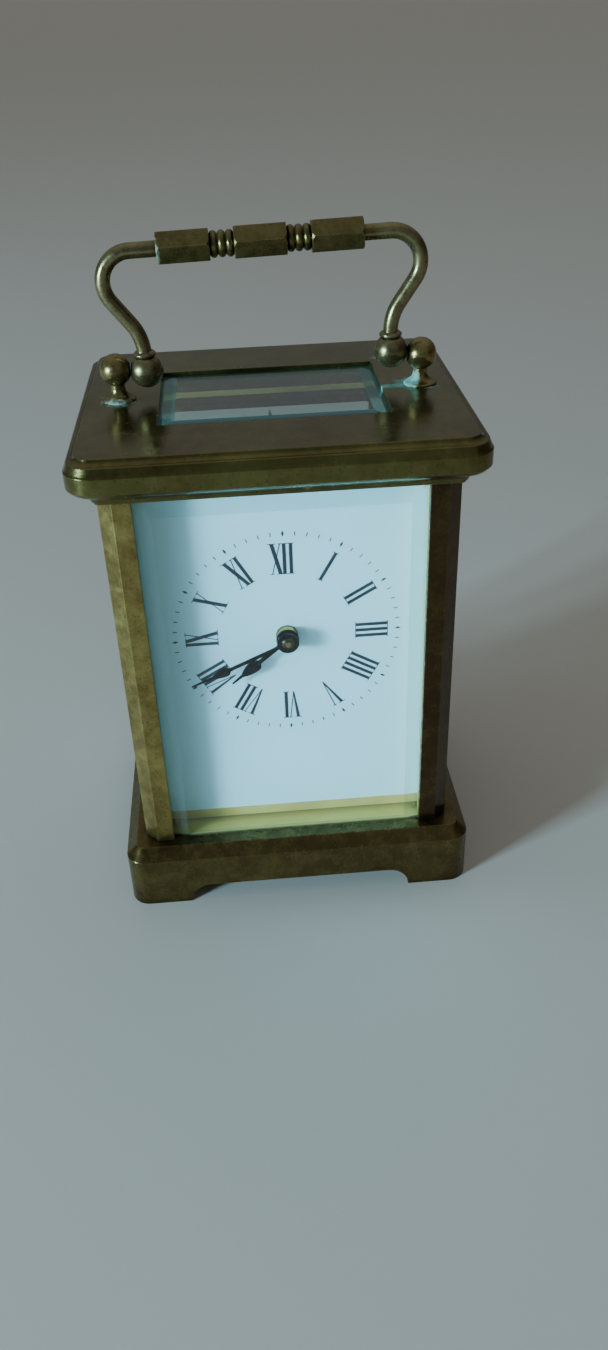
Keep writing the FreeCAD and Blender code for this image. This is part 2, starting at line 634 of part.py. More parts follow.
# ---------------------------------------------------------------- door
def door():
    """Framed glass door on two hinge pins, with a turned knob."""
    body = node("door_frame")
    half = "(%s - door_gap)" % PILLAR_IN_X
    low, high = "(base_height + door_gap)", "(%s - door_gap)" % CORNICE_FOOT
    front, back = "(door_back - door_thick)", "door_back"
    bend = "door_thick / 2"
    outline = [("-" + half, front), (HINGE_X, front, bend, "left"), (half, HINGE_Y, bend, "left"),
               (HINGE_X, back), ("-" + half, back)]
    add(body, "XY", [outline], low, high)
    open_x = "(%s - door_stile)" % half
    open_low, open_high = "(%s + door_stile)" % low, "(%s - door_stile)" % high
    cut(body, "XZ", [box("-" + open_x, open_x, open_low, open_high)], front, back)
    rebate_x = "(%s + door_lip + glass_play)" % open_x
    cut(body, "XZ", [box("-" + rebate_x, rebate_x, "%s - door_lip - glass_play" % open_low,
                         "%s + door_lip + glass_play" % open_high)],
        front + " - 1", front + " + glass_edge + glass_play")
    hole = ("circle", HINGE_X, HINGE_Y, "hinge_radius + pivot_play")
    cut(body, "XY", [hole], low + " - 1", low + " + hinge_bite + 0.2")
    cut(body, "XY", [hole], high + " - hinge_bite - 0.2", high + " + 1")
    knob_x = "(-%s + door_stile / 2 - door_lip / 2)" % half
    cut(body, "XZ", [("circle", knob_x, "knob_height", "0.85")], front, back)
    bevelled(node("door_glass"), "XZ",
             box("-(%s + door_lip)" % open_x, "%s + door_lip" % open_x,
                 "%s - door_lip" % open_low, "%s + door_lip" % open_high),
             box("-(%s - glass_play)" % open_x, "%s - glass_play" % open_x,
                 "%s + glass_play" % open_low, "%s - glass_play" % open_high),
             box("-(%s - bevel_side)" % open_x, "%s - bevel_side" % open_x,
                 "%s + bevel_side" % open_low, "%s - bevel_side" % open_high),
             front, front + " + glass_edge", front + " + glass_thick")
    pins = Part.makeCylinder(value("hinge_radius"),
                             value("hinge_depth + door_gap + hinge_bite - 0.1"))
    x, y = value(HINGE_X), value(HINGE_Y)
    bottom = value("base_height - hinge_depth + 0.05")
    top = value(CORNICE_FOOT + " - door_gap - hinge_bite + 0.1")
    group("door_hinge_pins", [at(pins, x, y, bottom), at(pins, x, y, top)])
    knob = node("door_knob", knob_x, back, "knob_height")
    turn(knob, "Y", [("0", "-door_thick"), ("0.83", "-door_thick"), ("0.83", "0"), ("1.7", "0"),
                     ("1.7", "0.5"), ("0.95", "0.9"), ("0.95", "1.6"), ("1.3", "2.0"),
                     ("knob_radius", "2.9", "1.6", "left"), ("1.3", "knob_length - 0.1"),
                     ("0", "knob_length")])


# ---------------------------------------------------------------- handle
PIVOT_Z = "(%s + pivot_height)" % CORNICE_TOP
TILT = "handle_tilt * 1 deg"
ALONG_Y = Vector(0, 1, 0)


def finial(label, side):
    """Ball finial that carries one pivot of the handle."""
    body = node(label, mirror(side, "finial_x"), "0", CORNICE_TOP)
    ball_low = "pivot_height - sqrt(finial_radius ^ 2 - finial_neck ^ 2)"
    turn(body, "Z", [("0", "-stud_length"), ("finial_stud", "-stud_length"), ("finial_stud", "0"),
                     ("finial_foot", "0"), ("finial_foot", "0.4"),
                     ("finial_foot - 0.3", "0.6", "2.3", "right"), ("finial_neck", "2.5"),
                     ("finial_neck", ball_low, "finial_radius", "left"),
                     ("finial_radius", "pivot_height", "finial_radius", "left"),
                     ("0", "pivot_height + finial_radius")])
    face = "(finial_x - ball_meet - ball_gap / 2)"
    low, high = sorted((mirror(-side, face), mirror(-side, "(finial_radius + 1)")), key=value)
    cut(body, "YZ", [box("-(finial_radius + 1)", "finial_radius + 1",
                         "pivot_height - finial_radius", "pivot_height + finial_radius + 1")],
        low, high)
    low, high = sorted((mirror(-side, face), "0"), key=value)
    cut(body, "YZ", [("circle", "0", "pivot_height", "pin_radius + fixed_play")], low, high)


def handle_pivots():
    """Plain pins from the finials into the balls of the handle."""
    start = value("ball_meet - ball_gap / 2 - pin_bite + 0.1")
    bar = Part.makeCylinder(value("pin_radius"), value("finial_x - 0.05") - start)
    group("handle_pivots", [at(bar, side * start, 0, value(PIVOT_Z), Vector(side, 0, 0))
                            for side in (-1, 1)])


def ball_rise(side):
    """Middle of a handle ball above the handle's axis, from the handle's lean."""
    return "(handle_lift + %s)" % mirror(side, "(ball_x * sin(%s))" % TILT)


def ball_place(side):
    """Middle of a handle ball, leaning as the handle does."""
    return (mirror(side, "(ball_x * cos(%s))" % TILT), "0", PIVOT_Z + " + " + ball_rise(side),
            ALONG_Y, "-handle_tilt")


def handle_ball(label, side):
    """Ball at the foot of the handle, flat outside and on top, bored level for its pin."""
    body = node(label, *ball_place(side))
    top = "(ball_radius - 0.5)"
    rim = "sqrt(ball_radius ^ 2 - (ball_radius - 0.5) ^ 2)"
    turn(body, "Z", [("0", "-ball_radius", "ball_radius", "left"),
                     ("ball_radius", "0", "ball_radius", "left"), (rim, top), ("0", top)])
    face = "(ball_meet - ball_x - ball_gap / 2)"
    low, high = sorted((mirror(side, face), mirror(side, "(ball_radius + 1)")), key=value)
    level(cut(body, "YZ", [middle_box("(ball_radius + 1)", "(ball_radius + 1)")], low, high))
    low, high = sorted((mirror(side, "(%s + 0.1)" % face), mirror(side, "(%s - pin_bite)" % face)),
                       key=value)
    drop = "-(%s + (%s) * sin(%s))" % (ball_rise(side), high, TILT)
    bore = ("circle", "0", drop, "pin_radius + pivot_play")
    level(cut(body, "YZ", [bore], low, high))
    cut(body, "XY", [("circle", "0", "0", "spigot_radius + fixed_play")],
        top + " - 1.25", top)


def level(feature):
    """Turn a feature's sketch back, so that it lies level in the leaning handle."""
    made = feature.Profile[0]
    lift = made.AttachmentOffset.Base
    made.AttachmentOffset = Placement(lift, Rotation(Vector(1, 0, 0), value("handle_tilt")))


def handle_arm(label, side):
    """Bent round bar from a ball up to the end of the grip."""
    body = node(label, *ball_place(side))
    seat = "(ball_radius - 0.5)"
    turn(body, "Z", [("0", seat + " - 1.2"), ("spigot_radius", seat + " - 1.2"),
                     ("spigot_radius", seat), ("2.1", seat), ("2.35", seat + " + 0.2"),
                     ("2.35", seat + " + 0.6"), ("1.9", seat + " + 1.0"),
                     ("0", seat + " + 1.0")])
    lean = "arm_lean * 1 deg"
    start_z = "(%s + 0.8)" % seat
    foot_z = "(%s + arm_foot_bend * cos(%s))" % (start_z, lean)
    foot_x = "(arm_foot_bend * (1 - sin(%s)))" % lean
    low_z = "(grip_rise - arm_bend * (1 + cos(%s)))" % lean
    low_x = "(%s + (%s - %s) / tan(%s))" % (foot_x, low_z, foot_z, lean)
    high_x = "(%s - arm_bend * sin(%s))" % (low_x, lean)
    end_x = "(grip_half - ball_x)"
    over, under = ("right", "left") if side > 0 else ("left", "right")
    path = [(mirror(side, end_x), "grip_rise"),
            (mirror(side, high_x), "grip_rise", "arm_bend", over),
            (mirror(side, low_x), low_z), (mirror(side, foot_x), foot_z, "arm_foot_bend", under),
            ("0", start_z)]
    spine = sketch(body, "XZ", [path], closed=False)
    bar = body.newObject("PartDesign::AdditivePipe", "bar")
    bar.Profile = sketch(body, "YZ", [("circle", "0", "grip_rise", "arm_radius")],
                         mirror(side, end_x))
    bar.Spine = (spine, [])
    bar.Refine = False
    low, high = sorted((mirror(side, "(%s - spigot_length)" % end_x),
                        mirror(side, "(%s + 0.5)" % end_x)), key=value)
    add(body, "YZ", [("circle", "0", "grip_rise", "spigot_radius")], low, high)


def handle_grip():
    """Hexagonal grip with two sets of turned beads."""
    body = node("handle_grip", "-(grip_rise * sin(%s))" % TILT, "0",
                PIVOT_Z + " + handle_lift + grip_rise * cos(%s)" % TILT, ALONG_Y, "-handle_tilt")
    bead = "((bead_end - bead_start) / 3)"
    bend = "(%s * 0.51)" % bead
    outline = [("-grip_half", "0"), ("-grip_half", "grip_core"), ("-bead_end", "grip_core", bend,
               "right"), ("-bead_end + " + bead, "grip_core", bend, "right"),
               ("-bead_start - " + bead, "grip_core", bend, "right"), ("-bead_start", "grip_core"),
               ("bead_start", "grip_core", bend, "right"),
               ("bead_start + " + bead, "grip_core", bend, "right"),
               ("bead_end - " + bead, "grip_core", bend, "right"), ("bead_end", "grip_core"),
               ("grip_half", "grip_core"), ("grip_half", "0")]
    turn(body, "X", outline)
    corners = ["(grip_turn + %d) * 1 deg" % (180 - 60 * place) for place in range(6)]
    hexagon = [("grip_corner * -cos(%s)" % corner, "grip_corner * sin(%s)" % corner)
               for corner in corners]
    for low, high in (("-bead_start", "bead_start"), ("-grip_half", "-bead_end"),
                      ("bead_end", "grip_half")):
        add(body, "YZ", [hexagon], low, high)
        for end, into in ((low, 0.55), (high, -0.55)):
            turn(body, "X", [(end, "grip_corner - 0.4"), (end, "grip_corner + 0.3"),
                             ("%s + %s" % (end, into), "grip_corner + 0.3"),
                             ("%s + %s" % (end, into), "grip_corner")], remove=True)
    for side in (-1, 1):
        low, high = sorted((mirror(side, "(grip_half - spigot_length - 0.2)"),
                            mirror(side, "(grip_half + 1)")), key=value)
        cut(body, "YZ", [("circle", "0", "0", "spigot_radius + fixed_play")], low, high)


# ---------------------------------------------------------------- dial
BACKING_REAR = "(-dial_front + dial_thick + backing_thick)"
PLATE_REAR = "(-plate_front + plate_thick)"
FEET = [(side, height) for side in (-1, 1) for height in (9, 66)]


def dial():
    """Enamel dial on a brass backing plate whose four feet enter the front plate."""
    body = node("dial_plate")
    hole = ("circle", "0", "centre_height", "dial_hole")
    add(body, "XZ", [box("-dial_half", "dial_half", "dial_low", "dial_high"), hole],
        "-dial_front", "-dial_front + dial_thick")
    body = node("dial_back_plate")
    add(body, "XZ", [box("-dial_half", "dial_half", "base_height", "dial_high"), hole],
        "-dial_front + dial_thick", BACKING_REAR)
    places = [(str(side * 24), "base_height + %d" % height) for side, height in FEET]
    add(body, "XZ", [("circle", x, z, "1.4") for x, z in places], BACKING_REAR + " - 0.1",
        "-plate_front")
    add(body, "XZ", [("circle", x, z, "0.8") for x, z in places], "-plate_front - 0.1", PLATE_REAR)


def hand(label, turned, length, front, hub, bore, stem, pear_low, pear_high, pear_half):
    """Spade hand lying along +Z from its hub."""
    body = node(label, "0", "0", "centre_height", Vector(0, 1, 0), turned)
    levels = ("-%s" % front, "-%s + hand_thick" % front)
    add(body, "XZ", [("circle", "0", "0", str(hub))], *levels)
    middle = (pear_low * 2 + pear_high) / 3
    bow = pear_half * 1.05
    top_bow = (pear_high - middle) * 2.2
    side = [("%s" % stem, "%s" % (hub * 0.5)), ("%s" % stem, str(pear_low), str(bow), "left"),
            (str(pear_half), str(middle), str(top_bow), "left"),
            (str(stem * 0.7), str(pear_high)), (str(stem * 0.35), "%s - 0.2" % length)]
    back = [("-(%s)" % (stem * 0.35), "%s - 0.2" % length),
            ("-(%s)" % (stem * 0.7), str(pear_high), str(top_bow), "left"),
            ("-(%s)" % pear_half, str(middle), str(bow), "left"),
            ("-(%s)" % stem, str(pear_low)), ("-(%s)" % stem, "%s" % (hub * 0.5))]
    add(body, "XZ", [side + [("0", length)] + back], *levels)
    cut(body, "XZ", [("circle", "0", "0", bore)], "-%s - 0.1" % front,
        "-%s + hand_thick + 0.1" % front)


# ---------------------------------------------------------------- train
def pitch(teeth, module):
    """Pitch radius."""
    return "(%s * %s / 2)" % (teeth, module)


GREAT_REACH = "(great_module * (barrel_teeth + centre_leaves) / 2)"
BARREL_X = "(%s * sin(barrel_turn * 1 deg))" % GREAT_REACH
BARREL_Z = "(centre_height + %s * cos(barrel_turn * 1 deg))" % GREAT_REACH
THIRD_REACH = "(centre_module * (centre_teeth + third_leaves) / 2)"
CONTRATE_REACH = "(third_module * (third_teeth + contrate_leaves) / 2)"
THIRD_RISE = "((%s ^ 2 - %s ^ 2 + contrate_rise ^ 2) / (2 * contrate_rise))" % (
    THIRD_REACH, CONTRATE_REACH)
THIRD_X = "sqrt(%s ^ 2 - %s ^ 2)" % (THIRD_REACH, THIRD_RISE)
THIRD_Z = "(centre_height + %s)" % THIRD_RISE
CONTRATE_Z = "(centre_height + contrate_rise)"
MOTION_REACH = "(cannon_module * (cannon_leaves + minute_teeth) / 2)"
MINUTE_X = "(%s * sin(minute_wheel_turn * 1 deg))" % MOTION_REACH
MINUTE_Z = "(centre_height + %s * cos(minute_wheel_turn * 1 deg))" % MOTION_REACH
HOUR_MODULE = "(2 * %s / (minute_leaves + hour_teeth))" % MOTION_REACH
BACK_FRONT = "(-plate_front + plate_thick + plate_space)"
BACK_REAR = "(-plate_front + plate_thick * 2 + plate_space)"


def wheel_gap(teeth, module):
    """Gap between two teeth of a wheel, pointing up."""
    reach = pitch(teeth, module)
    half = "%s * 3.1416 * %s"
    right = [(half % (module, 0.25), "%s - 0.8 * %s" % (reach, module)),
             (half % (module, 0.265), reach),
             (half % (module, 0.33), "%s + 0.6 * %s" % (reach, module)),
             (half % (module, 0.46), "%s + 1.15 * %s" % (reach, module))]
    return right + [("-(%s)" % x, y) for x, y in reversed(right)]


def pinion_gap(teeth, module):
    """Gap between two leaves of a pinion, pointing up."""
    reach = pitch(teeth, module)
    root = "(%s - 1.35 * %s)" % (reach, module)
    half = "%s * 3.1416 * %s"
    right = [(half % (module, 0.31) + " * %s / %s" % (root, reach), root),
             (half % (module, 0.31), reach),
             (half % (module, 0.44), "%s + 0.55 * %s" % (reach, module))]
    return right + [("-(%s)" % x, y) for x, y in reversed(right)]


def tooth(body, axis, teeth, gap, low, high):
    """Cut the gaps all round a blank."""
    plane = "XY" if axis == "Z" else "XZ"
    repeat(body, cut(body, plane, [gap], low, high), axis, teeth)


def wheel(body, teeth, module, low, high, hub, rim, spokes):
    """Crossed-out wheel about the local Y axis."""
    reach = pitch(teeth, module)
    add(body, "XZ", [("circle", "0", "0", "%s + 1.05 * %s" % (reach, module))], low, high)
    inner, outer = "(%s)" % hub, "(%s - %s)" % (reach, rim)
    spread = math.pi / spokes
    near = (math.sin(spread * 0.62), math.cos(spread * 0.62))
    far = (math.sin(spread * 0.86), math.cos(spread * 0.86))
    window = [("-%s * %.4f" % (inner, near[0]), "%s * %.4f" % (inner, near[1])),
              ("-%s * %.4f" % (outer, far[0]), "%s * %.4f" % (outer, far[1]), outer, "right"),
              ("%s * %.4f" % (outer, far[0]), "%s * %.4f" % (outer, far[1])),
              ("%s * %.4f" % (inner, near[0]), "%s * %.4f" % (inner, near[1]))]
    repeat(body, cut(body, "XZ", [window], low, high), "Y", str(spokes))
    tooth(body, "Y", teeth, wheel_gap(teeth, module), low, high)


def mesh_turn(direction, teeth, turned, other):
    """Rest angle of a wheel so that its teeth fall in the gaps of the one before."""
    share = (direction - turned) * teeth / 360
    return direction + 180 - 360 / other * (0.5 - share)


def leaves(body, axis, count, module, low, high):
    """Pinion standing on an arbor."""
    plane = "XY" if axis == "Z" else "XZ"
    blank = "%s + 0.5 * %s" % (pitch(count, module), module)
    add(body, plane, [("circle", "0", "0", blank)], low, high)
    tooth(body, axis, count, pinion_gap(count, module), low, high)


def arbor(body, steps):
    """Turned arbor about local Y, from (radius, along) steps."""
    loop = [("0", steps[0][1])] + steps + [("0", steps[-1][1])]
    turn(body, "Y", loop)


def train_turns():
    """Rest angles of the train, each worked out from the wheel it meets."""
    centre = 0.0
    barrel = mesh_turn(value("barrel_turn"), value("centre_leaves"), centre,
                       value("barrel_teeth"))
    third_way = math.degrees(math.atan2(value(THIRD_X), value(THIRD_RISE)))
    third = mesh_turn(third_way, value("centre_teeth"), centre, value("third_leaves"))
    contrate_way = math.degrees(math.atan2(-value(THIRD_X),
                                           value("contrate_rise - " + THIRD_RISE)))
    contrate = mesh_turn(contrate_way, value("third_teeth"), third, value("contrate_leaves"))
    minute = mesh_turn(value("minute_wheel_turn"), value("cannon_leaves"), centre,
                       value("minute_teeth"))
    hour = mesh_turn(value("minute_wheel_turn") + 180, value("minute_leaves"), minute,
                     value("hour_teeth"))
    return {"centre": centre, "barrel": barrel, "third": third, "contrate": contrate,
            "minute": minute, "hour": hour}


TURNS = train_turns()


def plates():
    """Front and back plates, their pillars and screws."""
    posts = [(side, height) for side in (-1, 1) for height in ("post_low", "post_high")]
    pivots = [("circle", "0", "centre_height"), ("circle", THIRD_X, THIRD_Z),
              ("circle", "0", CONTRATE_Z)]
    low, high = "base_height", "(base_height + plate_height)"
    for label, front in (("front_plate", "-plate_front"), ("back_plate", BACK_FRONT)):
        body = node(label)
        loops = [box("-plate_half", "plate_half", low, high)]
        loops += [place + ("pivot_radius + pivot_play",) for place in pivots[1:]]
        centre_bore = "1.0 + pivot_play" if label == "front_plate" else "pivot_radius + pivot_play"
        loops.append(pivots[0] + (centre_bore,))
        loops.append(("circle", BARREL_X, BARREL_Z, "1.6 + pivot_play"
                      if label == "front_plate" else "barrel_arbor + pivot_play"))
        loops += [("circle", mirror(side, "post_x"), "base_height + %s" % height, "1.22")
                  for side, height in posts]
        if label == "front_plate":
            loops += [("circle", str(side * 24), "base_height + %d" % height, "0.82")
                      for side, height in FEET]
        else:
            loops.append(("circle", CLICK_X, CLICK_Z, "0.8"))
            loops.append(("circle", SPRING_X, SPRING_Z, "0.65"))
        add(body, "XZ", loops, front, front + " + plate_thick")
        if label == "front_plate":
            add(body, "XZ", [("circle", MINUTE_X, MINUTE_Z, "1.3")], "-plate_front - 0.6",
                "-plate_front + 0.1")
            add(body, "XZ", [("circle", MINUTE_X, MINUTE_Z, "0.7")], "-plate_front - 3.35",
                "-plate_front - 0.5")
        for side in (-1, 1):
            hole = ("circle", mirror(side, "(platform_half - 2)"),
                    front + " + plate_thick / 2", "0.6")
            cut(body, "XY", [hole], high + " - 4", high + " + 1")
    space = value("plate_space")
    radius = value("post_radius")
    half = space / 2
    profile = [Vector(0, 0, -1.9), Vector(1.2, 0, -1.9), Vector(1.2, 0, 0),
               Vector(radius, 0, 0), Vector(radius, 0, half * 0.24),
               Vector(radius * 0.8, 0, half * 0.3), Vector(radius * 0.8, 0, space - half * 0.3),
               Vector(radius, 0, space - half * 0.24), Vector(radius, 0, space),
               Vector(0, 0, space), Vector(0, 0, -1.9)]
    post = Part.Face(Part.makePolygon(profile)).revolve(Vector(), Vector(0, 0, 1), 360)
    thread = Part.makeCylinder(0.85, 6, Vector(0, 0, space - 5))
    post = post.cut(thread)
    reach = value("plate_space / 2 - plate_front + plate_thick")
    solids = []
    for side, height in posts:
        level = value("base_height + %s" % height)
        solid = at(post, side * value("post_x"), value(PLATE_REAR), level, ALONG_Y)
        if height == "post_low":
            bore = Part.makeCylinder(1.05, 6, Vector(side * value("post_x"), reach, level - 5.4))
            solid = solid.cut(bore)
        solids.append(solid)
    group("movement_pillars", solids)
    fixing = screw(2.0, 1.0, 0.8, value("plate_thick") + 3.6)
    group("plate_screws", [at(fixing, side * value("post_x"), value(BACK_REAR),
                              value("base_height + %s" % height), ALONG_Y, 35 * side)
                           for side, height in posts])


def centre_group():
    """Centre arbor with its wheel, the cannon pinion and the motion work."""
    body = node("centre_wheel", "0", "0", "centre_height", ALONG_Y, "0")
    arbor(body, [("0.6", "-minute_plane - 0.6"), ("0.6", PLATE_REAR + " - 2.4"),
                 ("1.0", PLATE_REAR + " - 2.4"), ("1.0", PLATE_REAR + " + 0.2"),
                 ("1.8", PLATE_REAR + " + 0.2"), ("1.8", PLATE_REAR + " + 2.6"),
                 ("1.2", PLATE_REAR + " + 2.6"), ("1.2", BACK_FRONT + " - 0.2"),
                 ("pivot_radius", BACK_FRONT + " - 0.2"), ("pivot_radius", BACK_REAR)])
    leaves(body, "Y", "centre_leaves", "great_module", "5.1", "8.0")
    wheel(body, "centre_teeth", "centre_module", PLATE_REAR + " + 0.9", PLATE_REAR + " + 1.7",
          "3.2", "1.5", 5)
    body = node("cannon_pinion", "0", "0", "centre_height", ALONG_Y, "0")
    low = "(-plate_front - 1.6)"
    leaves(body, "Y", "cannon_leaves", "cannon_module", low, low + " + 1.2")
    turn(body, "Y", [("0.6 + fixed_play", "-minute_plane"), ("0.85", "-minute_plane"),
                     ("0.85", "-minute_plane + 0.45"), ("1.1", "-minute_plane + 0.45"),
                     ("1.1", low + " + 1.2"), ("0.6 + fixed_play", low + " + 1.2")])
    cut(body, "XZ", [("circle", "0", "0", "0.6 + fixed_play")], "-minute_plane - 1",
        low + " + 2")
    collet = node("hand_collet", "0", "0", "centre_height")
    turn(collet, "Y", [("0.6 + fixed_play", "-minute_plane - 0.5"), ("0.9", "-minute_plane - 0.45"),
                       ("collet_radius", "-minute_plane - 0.15"), ("collet_radius", "-minute_plane"),
                       ("collet_bush", "-minute_plane"),
                       ("collet_bush", "-minute_plane + hand_thick"),
                       ("1.9", "-minute_plane + hand_thick"), ("1.9", "-minute_plane + 0.8"),
                       ("1.1 + fixed_play", "-minute_plane + 0.8"),
                       ("1.1 + fixed_play", "-minute_plane + 0.43"),
                       ("0.85 + fixed_play", "-minute_plane + 0.43"),
                       ("0.85 + fixed_play", "-minute_plane"),
                       ("0.6 + fixed_play", "-minute_plane")])
    body = node("minute_wheel", MINUTE_X, "0", MINUTE_Z, ALONG_Y, str(TURNS["minute"]))
    low = "(-plate_front - 1.3)"
    wheel(body, "minute_teeth", "cannon_module", low, low + " + 0.6", "1.7", "0.9", 4)
    leaves(body, "Y", "minute_leaves", HOUR_MODULE, low + " - 1.9", low)
    cut(body, "XZ", [("circle", "0", "0", "0.7 + pivot_play")], low + " - 3", low + " + 2")
    body = node("hour_wheel", "0", "0", "centre_height", ALONG_Y, str(TURNS["hour"]))
    low = "(%s + 0.2)" % BACKING_REAR
    wheel(body, "hour_teeth", HOUR_MODULE, low, low + " + 0.6", "2.3", "1.0", 4)
    turn(body, "Y", [("0.9", "-hour_plane - 0.3"), ("1.5", "-hour_plane - 0.3"),
                     ("1.5", "-hour_plane + hand_thick"), ("hour_boss", "-hour_plane + hand_thick"),
                     ("hour_boss", "-dial_front - 0.2"), ("1.7", "-dial_front - 0.2"),
                     ("1.7", low + " + 0.6"), ("0.9", low + " + 0.6")])
    cut(body, "XZ", [("circle", "0", "0", "1.1 + pivot_play")], "-hour_plane - 1",
        low + " + 2")


def barrel_group():
    """Going barrel with its cover, spring, arbor and ratchet."""
    where = (BARREL_X, "0", BARREL_Z)
    body = node("barrel", *where, ALONG_Y, str(TURNS["barrel"]))
    reach = pitch("barrel_teeth", "great_module")
    front, back = "-13.5", "5.5"
    add(body, "XZ", [("circle", "0", "0", "%s + 1.05 * great_module" % reach)], back,
        back + " + 1.6")
    tooth(body, "Y", "barrel_teeth", wheel_gap("barrel_teeth", "great_module"), back,
          back + " + 1.6")
    add(body, "XZ", [("circle", "0", "0", "barrel_radius"),
                     ("circle", "0", "0", "barrel_radius - barrel_wall")], front, back + " + 0.1")
    cut(body, "XZ", [("circle", "0", "0", "barrel_arbor + pivot_play")], back + " - 1",
        back + " + 3")
    cover = node("barrel_cover", *where)
    add(cover, "XZ", [("circle", "0", "0", "barrel_radius - barrel_wall - fixed_play"),
                      ("circle", "0", "0", "barrel_arbor + pivot_play")], front, front + " + 1.0")
    add(cover, "XZ", [("circle", "0", "0", "4.2"),
                      ("circle", "0", "0", "barrel_arbor + pivot_play")],
        front + " - 0.5", front + " + 0.1")
    shaft = node("barrel_arbor", *where)
    arbor(shaft, [("1.6", "-plate_front + 0.1"), ("1.6", PLATE_REAR + " + 0.1"),
                  ("barrel_arbor", PLATE_REAR + " + 0.1"), ("barrel_arbor", front + " + 1.3"),
                  ("4.6", front + " + 1.3"), ("4.6", back + " - 0.3"),
                  ("barrel_arbor", back + " - 0.3"), ("barrel_arbor", BACK_REAR + " + 0.3")])
    add(shaft, "XZ", [middle_box("square_half", "square_half")], BACK_REAR + " + 0.2",
        BACK_REAR + " + 8.0")
    coil = spiral(5.2, 14.9, 11, 0.32, 0, 16.4)
    turn_down = Rotation(Vector(0, 0, 1), ALONG_Y)
    coil.Placement = Placement(Vector(value(BARREL_X), value(front) + 1.6, value(BARREL_Z)),
                               turn_down)
    group("mainspring", [coil])
    body = node("ratchet_wheel", *where)
    low = "(%s + 0.4)" % BACK_REAR
    add(body, "XZ", [("circle", "0", "0", "ratchet_radius")], low, low + " + 1.2")
    saw = [("0", "ratchet_radius - 0.8"), ("1.7", "ratchet_radius + 0.1"),
           ("0", "ratchet_radius + 0.1")]
    tooth(body, "Y", "ratchet_teeth", saw, low, low + " + 1.2")
    cut(body, "XZ", [middle_box("square_half + fixed_play", "square_half + fixed_play")],
        low + " - 1", low + " + 3")


CLICK_X = "(%s + 7)" % BARREL_X
CLICK_Z = "(%s + ratchet_radius + 1.6)" % BARREL_Z
SPRING_X = "(%s + 12.5)" % BARREL_X
SPRING_Z = "(%s + ratchet_radius + 5.2)" % BARREL_Z


def click():
    """Click, its screw and its spring on the back plate."""
    body = node("click", CLICK_X, "0", CLICK_Z)
    low = "(%s + 0.4)" % BACK_REAR
    levels = (low, low + " + 1.2")
    add(body, "XZ", [[("-6.86", "-1.4"), ("-5.1", "-1.25"), ("-1.2", "-1.3"), ("0.4", "1.4"),
                      ("-5.6", "0.2"), ("-6.86", "-0.5")]], *levels)
    add(body, "XZ", [("circle", "0", "0", "1.5")], *levels)
    cut(body, "XZ", [("circle", "0", "0", "0.8 + pivot_play")], low + " - 1", low + " + 2")
    leaf = node("click_spring", SPRING_X, "0", SPRING_Z)
    add(leaf, "XZ", [("circle", "0", "0", "1.5")], BACK_REAR, BACK_REAR + " + 1.4")
    add(leaf, "XZ", [[("0", "1.5"), ("-6.2", "-1.0"), ("-7.4", "-1.85"), ("-7.2", "-2.1"),
                      ("-6.0", "-1.35"), ("-0.3", "0.9")]], BACK_REAR + " + 0.5",
        BACK_REAR + " + 1.4")
    cut(leaf, "XZ", [("circle", "0", "0", "0.65")], BACK_REAR + " - 1", BACK_REAR + " + 3")
    pin = screw(1.5, 0.7, 0.78, 1.65 + value("plate_thick"))
    fixing = screw(1.2, 0.7, 0.6, 1.4 + value("plate_thick"))
    group("click_screws", [at(pin, value(CLICK_X), value(low) + 1.25, value(CLICK_Z), ALONG_Y, 20),
                           at(fixing, value(SPRING_X), value(BACK_REAR) + 1.4, value(SPRING_Z),
                              ALONG_Y, 70)])


